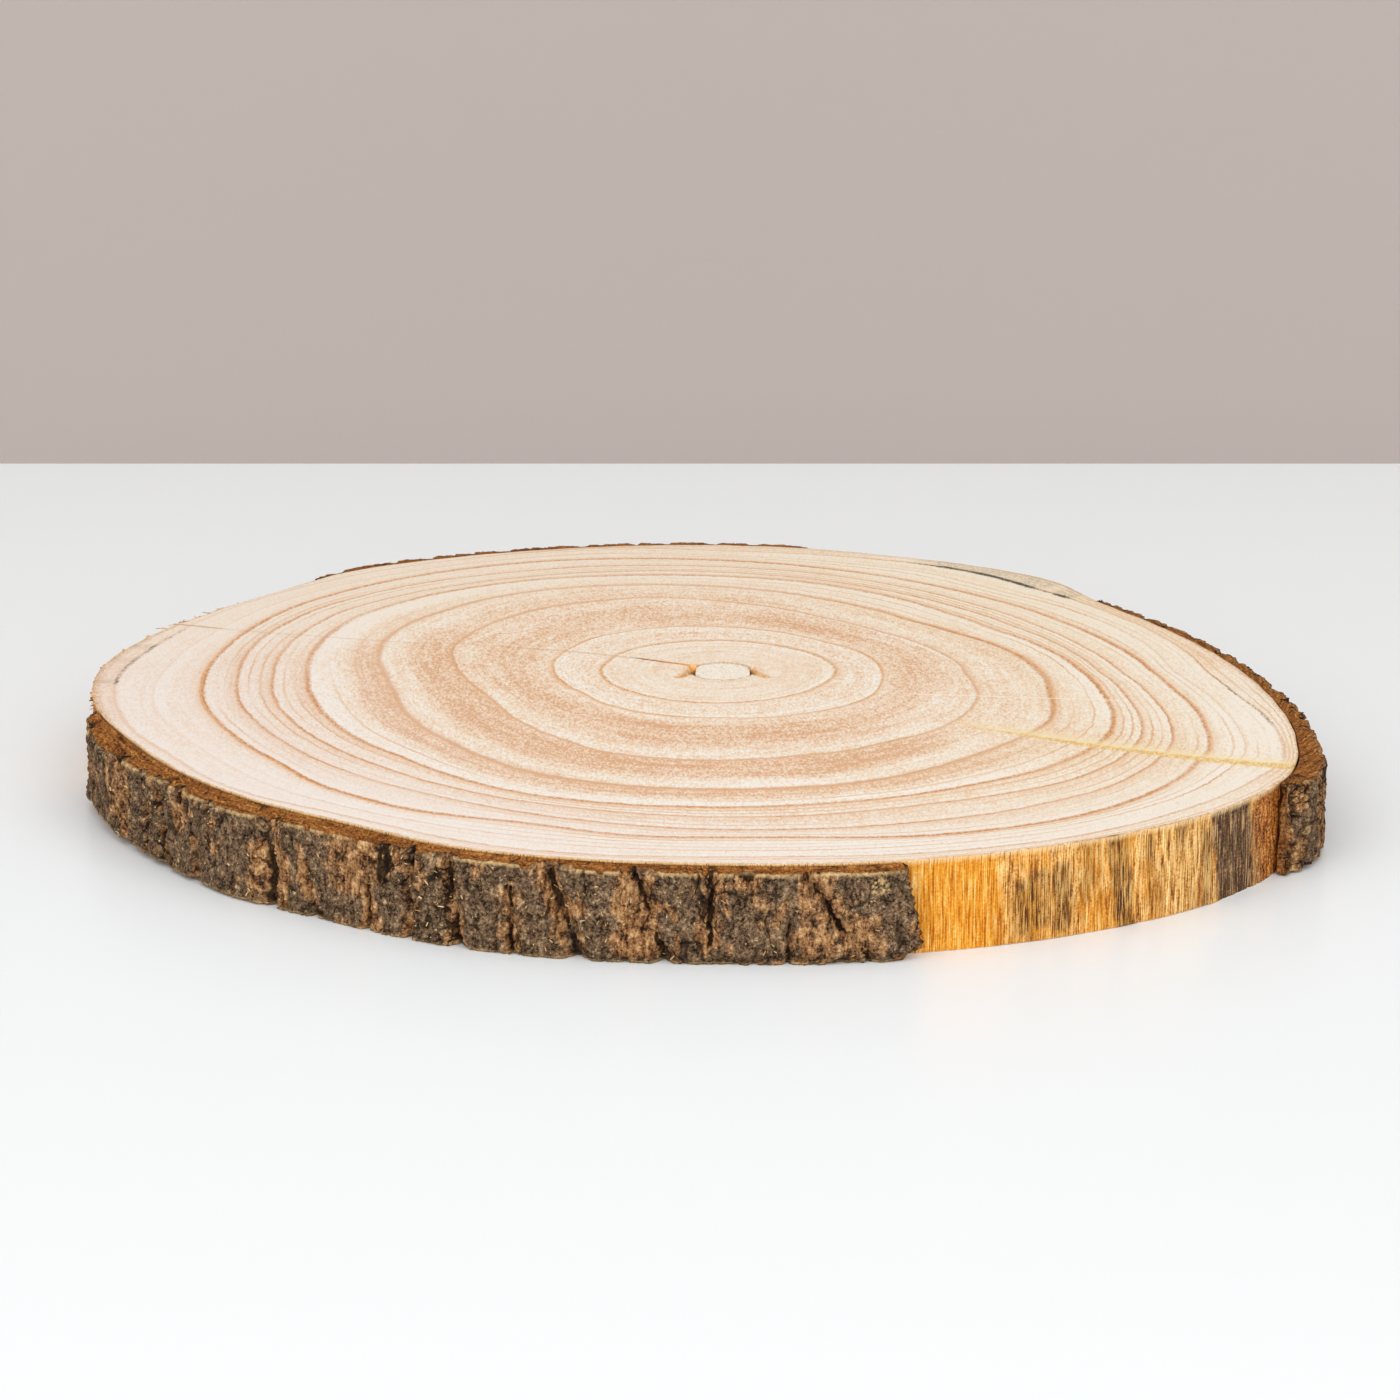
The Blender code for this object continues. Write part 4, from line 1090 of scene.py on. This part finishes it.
class SLICE_OT_bark_strips(bpy.types.Operator):
    """Builds the three strips of bark: furrows from the frame, cracks, flakes and the fibrous sawn top"""

    bl_idname = "slice.bark_strips"
    bl_label = "Bark strips"

    def execute(self, context):
        bark = context.scene.slice_bark
        material = bark_material(bark)
        for strip in STRIPS:
            piece = self.build(strip, bark.relief / MM)
            piece.data.materials.append(material)
            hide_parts(strip.node)
            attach(piece, "root")
        return {"FINISHED"}

    @staticmethod
    def ends(tree, node):
        """Where the strip starts and stops at some heights."""
        corners = [v.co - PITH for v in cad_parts[node].data.vertices]
        turns = np.degrees(sorted(math.atan2(c.y, c.x) % (2 * math.pi) for c in corners))
        gaps = np.diff(np.append(turns, turns[0] + 360))
        after = int(np.argmax(gaps))
        first, last = turns[(after + 1) % len(turns)], turns[after]
        if last < first:
            last += 360
        heights = np.linspace(0.2, TOP / MM - 1.4, 9)

        def reach(inside, outside, height):
            if outer_radius(tree, inside, height * MM) is None:
                return None
            for _ in range(12):
                middle = (inside + outside) / 2
                if outer_radius(tree, middle, height * MM) is None:
                    outside = middle
                else:
                    inside = middle
            return inside

        starts = [(h, reach(first + 5, first - 0.5, h)) for h in heights]
        stops = [(h, reach(last - 5, last + 0.5, h)) for h in heights]
        return [p for p in starts if p[1] is not None], [p for p in stops if p[1] is not None]

    @staticmethod
    def floor_and_top(tree, angle):
        """Lowest and highest point of the strip at an angle, outside and inside, in millimetres."""
        way = heading(angle)
        outer = outer_radius(tree, angle, TOP * 0.6) or outer_radius(tree, angle, TOP * 0.8)
        inner = inner_radius(tree, angle, TOP * 0.6) or inner_radius(tree, angle, TOP * 0.8)
        found = []
        for radius in (outer - 0.6 * MM, inner + 0.3 * MM):
            spot = PITH + way * radius
            down = tree.ray_cast(spot + Vector((0, 0, 0.1)), Vector((0, 0, -1)))
            up = tree.ray_cast(spot - Vector((0, 0, 0.1)), Vector((0, 0, 1)))
            found.append((up[0].z / MM if up[0] else 0.0, down[0].z / MM if down[0] else TOP / MM - 0.6))
        return found

    def build(self, strip, relief):
        tree = tree_of(strip.node)
        starts, stops = self.ends(tree, strip.node)
        first, last = min(v for _, v in starts), max(v for _, v in stops)
        middle_radius = outer_radius(tree, (first + last) / 2, TOP / 2) / MM
        columns = int(math.radians(last - first) * middle_radius / strip.step)
        outside = int(TOP / MM / strip.step)
        across, inside, below = 15, 7, 5
        caps = 5
        total_rows = outside + across + inside + below
        shape = (columns + 1, total_rows + 1)
        points = np.zeros((*shape, 3))
        unwrapped = np.zeros((*shape, 2))
        marks = {name: np.zeros(shape) for name in ("painted_hollow_shade", "inner", "cut", "edge")}
        edge_at = ([a for a, _ in strip.edge], [v for _, v in strip.edge])

        outer = np.zeros((columns + 1, outside + 1))
        bases = [self.angle_at(min(0.995, max(0.005, i / columns)), TOP / MM * 0.6, starts, stops) for i in range(columns + 1)]
        sections = self.whole_sections(np.array([sum(self.floor_and_top(tree, base), ()) for base in bases]), int(4.5 / strip.step))
        for i, base in enumerate(bases):
            share = i / columns
            low_out, high_out, low_in, high_in = sections[i]
            for k in range(outside + 1):
                z = low_out + (high_out - low_out) * k / outside
                angle = self.angle_at(share, z, starts, stops)
                s = math.radians(angle) * middle_radius
                shift = noise.noise_vector(Vector((s, z, strip.seed)) / 2.6)
                shift = shift * 0.8 + noise.noise_vector(Vector((s, z, strip.seed)) / 0.9) * 0.35
                lower, upper = low_out + 0.25, high_out - 0.25
                look = angle + math.degrees(shift.x / middle_radius) * smoothstep(0, 0.02, min(share, 1 - share))
                radius = outer_radius(tree, look, min(upper, max(lower, z + shift.y * 0.8)) * MM)
                if radius is None:
                    radius = outer_radius(tree, base, min(upper, max(lower, z)) * MM)
                outer[i, k] = radius / MM if radius else (outer[i - 1, k] if i else middle_radius)
        crest = self.crest(outer)
        lines = self.furrow_lines(crest - outer, strip.step)

        for i in range(columns + 1):
            share = i / columns
            low_out, high_out, low_in, high_in = sections[i]
            high_out, high_in = high_out + strip.lift, high_in + strip.lift
            ring_angle = self.angle_at(share, TOP / MM / 2, starts, stops)
            inner_edge = inner_radius(tree, min(last - 0.1, max(first + 0.1, ring_angle)), TOP * 0.6)
            inner_edge = inner_edge / MM if inner_edge else outer[i].min() - 2.5
            along = math.radians(ring_angle) * middle_radius
            cork = float(np.interp(ring_angle, *edge_at))
            chipped = smoothstep(0.15, 0.5, noise.noise(Vector((along / 3.4, strip.seed, 0))) + 0.3 * (1 - cork))
            high_out -= strip.chips * (1.0 * chipped + 0.3 * max(0.0, noise.noise(Vector((along / 0.8, strip.seed, 3)))))
            cork *= (1 - 0.8 * chipped) * (0.75 + 0.5 * noise.noise(Vector((along / 1.7, strip.seed, 6))))
            for j in range(total_rows + 1):
                spot = self.section(j, outside, across, inside, below, low_out, high_out, low_in, high_in)
                part, down, z = spot
                angle = self.angle_at(share, z, starts, stops)
                s = math.radians(angle) * middle_radius
                k = min(outside, max(0, round((z - low_out) / max(0.1, high_out - low_out) * outside)))
                small, open_crack, rough = bark_relief(s, z, strip.seed)
                sunk = crest[i, k] - outer[i, k]
                share_sunk = min(1.0, sunk / 2.4)
                torn_open = 0.5 + 0.5 * noise.noise(Vector((s / 2.6, z / 7.5, strip.seed + 11)))
                ragged = 0.09 * noise.noise(Vector((s / 0.9, z / 1.3, strip.seed))) - 0.06 * torn_open
                slit = smoothstep(0.94 + ragged, 0.988 + ragged, lines[i, k]) * smoothstep(0.31, 0.54, torn_open)
                surface = crest[i, k] - 0.5 * sunk - 1.5 * slit - relief * small - 1.1 * share_sunk * rough
                corner = smoothstep(high_out - 0.9, high_out, z) * 0.45 + (1 - smoothstep(low_out, low_out + 0.8, z)) * 0.4
                surface = max(surface - corner * (0.6 + 0.4 * noise.noise(Vector((s, z, 9)) / 1.5)), inner_edge + 0.7)
                if part == "outside":
                    radius = surface
                    # How deep the slits, open cracks and furrows are, for the painted shade that darkens them.
                    marks["painted_hollow_shade"][i, j] = min(1.1, 1.0 * slit + 0.75 * open_crack + 0.25 * share_sunk)
                    peel = noise.fractal(Vector((s / 5.5, z / 9.0, strip.seed + 20)), 0.9, 2.0, 3)
                    bank = smoothstep(0.1, 0.5, share_sunk) * (0.7 + 0.9 * peel)
                    marks["inner"][i, j] = max(bank, 0.8 * smoothstep(0.25, 0.6, peel))
                    marks["edge"][i, j] = cork * smoothstep(high_out - 1.1, high_out - 0.5, z) * (1 - smoothstep(0.6, 1.3, sunk))
                    hem = 0.8 * (1 - smoothstep(low_out + 0.3, low_out + 0.9, z)) * (0.5 + 0.5 * noise.noise(Vector((s / 3, 0, 4))))
                    marks["edge"][i, j] = max(marks["edge"][i, j], hem)
                    pale = window(*PALE_SPOT[:2], 0.4, angle) * window(*PALE_SPOT[2:], 1.2, z)
                    if pale:
                        marks["edge"][i, j] = max(marks["edge"][i, j], pale * smoothstep(-0.15, 0.3, noise.noise(Vector((s, z, 5)) / 0.8)))
                    for start, stop, low, high, strength in strip.inner_patches:
                        near = window(start, stop, 0.8, angle + 0.8 * peel) * window(low, high, 3.0, z) * strength
                        marks["inner"][i, j] = max(marks["inner"][i, j], near)
                elif part == "top":
                    radius = surface + (inner_edge - surface) * down
                    crumbs = 0.5 + 0.5 * noise.fractal(Vector((s / 2.2, radius / 1.1, strip.seed)), 0.8, 2.1, 4)
                    z -= strip.crumble * (0.75 * crumbs + 0.15) * smoothstep(0, 0.15, 1 - down)
                    marks["cut"][i, j] = 1.0
                    marks["edge"][i, j] = cork * (1 - smoothstep(0.0, 0.2, down))
                    # How deep the crumbs are pitted, for the painted shade in the pits.
                    marks["painted_hollow_shade"][i, j] = 0.75 * smoothstep(0.5, 0.85, crumbs)
                elif part == "inside":
                    radius = inner_edge
                    marks["cut"][i, j] = 1.0
                else:
                    radius = inner_edge + (surface - inner_edge) * down
                    marks["cut"][i, j] = 1.0
                way = heading(angle)
                points[i, j] = (PITH.x + way.x * radius * MM, PITH.y + way.y * radius * MM, z * MM)
                unwrapped[i, j] = (s * MM, (z if part in {"outside", "inside"} else z + radius) * MM)
        points[:, -1] = points[:, 0]
        points, unwrapped, marks = self.capped(points, unwrapped, marks, caps, strip.seed)
        return wrapped_grid(strip.node + "_crust", len(points) - 1, total_rows, points, unwrapped, marks)

    @staticmethod
    def angle_at(share, z, starts, stops):
        """The angle at a share of the way along, at a height; both ends are frayed."""
        start = np.interp(z, [h for h, _ in starts], [v for _, v in starts])
        stop = np.interp(z, [h for h, _ in stops], [v for _, v in stops])
        fray = 0.9 * abs(noise.noise(Vector((z / 2.6, start, 0)))) + 0.15 * abs(noise.noise(Vector((z / 0.8, start, 0))))
        near_start, near_stop = 1 - smoothstep(0, 0.03, share), 1 - smoothstep(0, 0.03, 1 - share)
        return float(start + (stop - start) * share + fray * (near_start - near_stop))

    @staticmethod
    def whole_sections(sections, reach):
        """Lowest and highest points taken over a few neighbours, so that a leaning furrow doesn't notch the ends of a section."""
        whole = sections.copy()
        for column, keep in enumerate((np.minimum, np.maximum, np.minimum, np.maximum)):
            for step in range(1, reach):
                whole[step:, column] = keep(whole[step:, column], sections[:-step, column])
                whole[:-step, column] = keep(whole[:-step, column], sections[step:, column])
        return whole

    @staticmethod
    def furrow_lines(sunk, step):
        """1 along the middle of each furrow, less on its banks, 0 on the plates."""
        reach = int(4.0 / step)
        weights = np.exp(-((np.arange(-reach, reach + 1) * step / 1.4) ** 2))
        padded = np.pad(sunk, ((reach, reach), (0, 0)), mode="edge")
        soft = np.apply_along_axis(lambda line: np.convolve(line, weights / weights.sum(), mode="valid"), 0, padded)
        peak = soft.copy()
        for off in range(1, reach):
            peak[off:] = np.maximum(peak[off:], soft[:-off])
            peak[:-off] = np.maximum(peak[:-off], soft[off:])
        return soft / np.maximum(peak, 0.2) * np.clip((peak - 0.35) / 0.6, 0, 1)

    @staticmethod
    def crest(outer):
        """The height of the plates round each place: the furthest radius nearby, softened."""
        reach = 14
        high = outer.copy()
        for step in range(1, reach):
            high[step:] = np.maximum(high[step:], outer[:-step])
            high[:-step] = np.maximum(high[:-step], outer[step:])
        high = np.repeat(np.percentile(high, 80, axis=1)[:, None], outer.shape[1], axis=1)
        kernel = np.ones(25) / 25
        padded = np.pad(high, ((12, 12), (0, 0)), mode="edge")
        return np.apply_along_axis(lambda line: np.convolve(line, kernel, mode="valid"), 0, padded)

    @staticmethod
    def section(j, outside, across, inside, below, low_out, high_out, low_in, high_in):
        """Part, share and height of one row of the section: up the outside, over the top, down the inside, back under."""
        if j <= outside:
            return "outside", j / outside, low_out + (high_out - low_out) * j / outside
        j -= outside
        if j <= across:
            share = j / across
            return "top", share, high_out + (high_in - high_out) * share
        j -= across
        if j <= inside:
            share = j / inside
            return "inside", share, high_in + (low_in - high_in) * share
        share = (j - inside) / below
        return "bottom", share, low_in + (low_out - low_in) * share

    @staticmethod
    def capped(points, unwrapped, marks, caps, seed):
        """Closes both ends: the end section is repeated smaller and smaller, with a broken, uneven face."""
        for end in (0, -1):
            section = points[end]
            middle = section.mean(0)
            middle = np.array([middle[0], middle[1], 0.0])
            onward = section - points[1 if end == 0 else -2]
            onward = onward.mean(0) / max(1e-9, np.linalg.norm(onward.mean(0)))
            added = []
            for k in range(1, caps + 1):
                share = 1 - k / caps
                line = np.column_stack((np.full(len(section), middle[0]), np.full(len(section), middle[1]), section[:, 2]))
                inward = line + (section - line) * share
                if k == caps:
                    heights = section[:, 2].min() + (section[:, 2].max() - section[:, 2].min()) * 0.5
                    inward = np.tile((middle[0], middle[1], heights), (len(section), 1))
                rough = np.array([noise.noise(Vector(tuple(p / MM)) / 2.2 + Vector((seed, k, 0))) for p in inward])
                if k < caps:
                    inward = inward - onward[None, :] * (0.35 + 0.35 * rough[:, None]) * MM
                added.append(inward)
            added = np.array(added)
            extra = np.repeat(unwrapped[end][None], caps, axis=0)
            points = np.concatenate((added[::-1], points)) if end == 0 else np.concatenate((points, added))
            unwrapped = np.concatenate((extra, unwrapped)) if end == 0 else np.concatenate((unwrapped, extra))
            for key, values in marks.items():
                level = {"cut": 0.5, "inner": 0.9}.get(key, 0.25 if key == "painted_hollow_shade" else 0.0)
                more = np.full((caps, values.shape[1]), level)
                marks[key] = np.concatenate((more, values)) if end == 0 else np.concatenate((values, more))
        return points, unwrapped, marks


class SLICE_OT_loose_bits(bpy.types.Operator):
    """Builds the shreds of inner bark along the bare back left edge and the pale slivers caught on the bark"""

    bl_idname = "slice.loose_bits"
    bl_label = "Loose bits"

    def execute(self, context):
        draw = random.Random(5)
        tree = tree_of("wood_disc")
        shreds = []
        for shred in SHREDS:
            for _ in range(shred.count):
                angle = draw.uniform(shred.start, shred.stop)
                root = PITH + heading(angle) * (outer_radius(tree, angle, TOP * 0.9) - 0.4 * MM)
                root.z = TOP - draw.uniform(0.4, 1.6) * MM
                way = (heading(angle + draw.uniform(-55, 55)) + Vector((0, 0, draw.uniform(-0.25, 0.1)))).normalized()
                length = draw.uniform(0.5, 1.0) * shred.length * MM
                shreds.append(self.strand(draw, root, way, length, draw.uniform(0.6, 1.0) * shred.thickness * MM, shred.curl))
        self.joined(shreds, "rim_shreds", bast_material())

        crust = bpy.data.objects["bark_front_crust"]
        surface = BVHTree.FromPolygons(
            [v.co.copy() for v in crust.data.vertices], [tuple(p.vertices) for p in crust.data.polygons])
        slivers = []
        for start, stop, count in SLIVERS:
            for _ in range(count):
                angle, height = draw.uniform(start, stop), draw.uniform(1.5, TOP / MM - 3) * MM
                out = heading(angle)
                hit = surface.ray_cast(PITH + out * REACH + Vector((0, 0, height)), -out, REACH)[0]
                if hit is None:
                    continue
                side = Vector((-out.y, out.x, 0))
                turn = draw.uniform(0, math.pi)
                way = side * math.cos(turn) + Vector((0, 0, math.sin(turn)))
                length = draw.uniform(0.5, 1.0) ** 2 * 2.0 * MM
                root = hit - way * length / 2 + out * 0.15 * MM
                slivers.append(self.strand(draw, root, way, length, draw.uniform(0.18, 0.32) * MM, 0.3))
        self.joined(slivers, "bark_slivers", sliver_material())
        return {"FINISHED"}

    @staticmethod
    def strand(draw, root, way, length, thickness, curl):
        """One thin curled shred, thickest near its root and closed at both ends."""
        columns, rows = 8, 5
        side = way.cross(Vector((0, 0, 1))).normalized()
        up = side.cross(way).normalized()
        bend = draw.uniform(-curl, curl)
        lift = draw.uniform(-0.3, 0.3) * curl
        points = np.zeros((columns + 1, rows + 1, 3))
        centre = root.copy()
        for i in range(columns + 1):
            share = i / columns
            turned = 3.4 * bend * share
            wide = thickness * math.sin(math.pi * min(1.0, share * 0.85 + 0.15)) ** 0.5 * (0.75 + 0.5 * draw.random())
            for j in range(rows + 1):
                turn = 2 * math.pi * (j % rows) / rows
                spot = centre + side * wide * math.cos(turn) + up * wide * 0.5 * math.sin(turn)
                points[i, j] = (spot.x, spot.y, min(spot.z, TOP - 0.03 * MM))
            centre += (way * math.cos(turned) + side * math.sin(turned) + up * lift * share) * (length / columns)
        points[0], points[-1] = points[0].mean(0), points[-1].mean(0)
        return wrapped_grid("strand", columns, rows, points, np.zeros((columns + 1, rows + 1, 2)), {})

    @staticmethod
    def joined(pieces, name, material):
        deselect_all()
        for piece in pieces:
            piece.select_set(True)
        bpy.context.view_layer.objects.active = pieces[0]
        bpy.ops.object.join()
        whole = bpy.context.object
        whole.name = name
        whole.data.name = name
        whole.data.materials.append(material)
        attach(whole, "root")


class SLICE_OT_stage(bpy.types.Operator):
    """Builds the floor, the backdrop, the soft lights and the camera"""

    bl_idname = "slice.stage"
    bl_label = "Stage"

    def execute(self, context):
        stage = context.scene.slice_stage
        deselect_all()
        bpy.ops.mesh.primitive_plane_add(size=8.0, location=(0, 0, 0))
        floor = context.object
        floor.name = "floor"
        floor.data.materials.append(self.plain("pale floor", stage.floor_colour, 0.26, 0.17))
        bpy.ops.mesh.primitive_plane_add(size=8.0, location=(0, BACKDROP_Y, 4.0), rotation=(math.radians(90), 0, 0))
        backdrop = context.object
        backdrop.name = "backdrop"
        backdrop.data.materials.append(self.plain("pale backdrop", stage.backdrop_colour, 0.9, 0.1))

        self.softbox("overhead", (0.0, -0.25, 1.5), (0.0, 0.0, 0.0), 2.6, 15.8 * stage.light)
        self.softbox("front left", (-1.1, -2.2, 0.9), (0.0, 0.0, 0.0), 2.0, 26.0 * stage.light)
        self.softbox("front right", (1.3, -2.2, 0.8), (0.0, 0.0, 0.0), 2.0, 21.0 * stage.light)
        world = bpy.data.worlds.new("studio")
        world.use_nodes = True
        world.node_tree.nodes["Background"].inputs["Color"].default_value = (1.0, 1.0, 1.0, 1.0)
        world.node_tree.nodes["Background"].inputs["Strength"].default_value = 0.58 * stage.light
        context.scene.world = world
        context.scene.view_settings.view_transform = "Standard"

        camera_data = bpy.data.cameras.new("camera")
        camera_data.lens = LENS
        camera_data.sensor_width = SENSOR
        camera = bpy.data.objects.new("camera", camera_data)
        context.scene.collection.objects.link(camera)
        camera.location = PITH + CAMERA_FROM_PITH
        camera.rotation_euler = (math.radians(90 - PITCH), 0, 0)
        context.scene.camera = camera
        return {"FINISHED"}

    @staticmethod
    def plain(name, colour, roughness, specular):
        material, _, shader = new_material(name, roughness, specular)
        shader.inputs["Base Color"].default_value = (*colour, 1.0)
        return material

    @staticmethod
    def softbox(name, place, target, size, power):
        light = bpy.data.lights.new(name, "AREA")
        light.shape = "SQUARE"
        light.size = size
        light.energy = power
        lamp = bpy.data.objects.new(name, light)
        bpy.context.scene.collection.objects.link(lamp)
        lamp.location = place
        lamp.rotation_euler = (Vector(target) - Vector(place)).to_track_quat("-Z", "Y").to_euler()


class SLICE_PT_panel(bpy.types.Panel):
    """The sizes and colours, and a button for each piece"""

    bl_label = "Wood slice"
    bl_idname = "SLICE_PT_panel"
    bl_space_type = "VIEW_3D"
    bl_region_type = "UI"
    bl_category = "Wood slice"

    def draw(self, context):
        for title, settings in (
            ("Wood", context.scene.slice_wood), ("Bark", context.scene.slice_bark), ("Stage", context.scene.slice_stage)):
            box = self.layout.box()
            box.label(text=title)
            for key in settings.bl_rna.properties.keys():
                if key not in {"rna_type", "name"}:
                    box.prop(settings, key)
        for operator in OPERATORS:
            self.layout.operator(operator.bl_idname)


OPERATORS = (SLICE_OT_wood_disc, SLICE_OT_pith_plug, SLICE_OT_bark_strips, SLICE_OT_loose_bits, SLICE_OT_stage)
CLASSES = (WoodSettings, BarkSettings, StageSettings, *OPERATORS, SLICE_PT_panel)


def register():
    for entry in CLASSES:
        bpy.utils.register_class(entry)
    bpy.types.Scene.slice_wood = bpy.props.PointerProperty(type=WoodSettings)
    bpy.types.Scene.slice_bark = bpy.props.PointerProperty(type=BarkSettings)
    bpy.types.Scene.slice_stage = bpy.props.PointerProperty(type=StageSettings)


def unregister():
    del bpy.types.Scene.slice_stage
    del bpy.types.Scene.slice_bark
    del bpy.types.Scene.slice_wood
    for entry in reversed(CLASSES):
        bpy.utils.unregister_class(entry)


def main():
    register()
    bpy.ops.slice.wood_disc()
    bpy.ops.slice.pith_plug()
    bpy.ops.slice.bark_strips()
    bpy.ops.slice.loose_bits()
    bpy.ops.slice.stage()


if __name__ == "__main__":
    main()
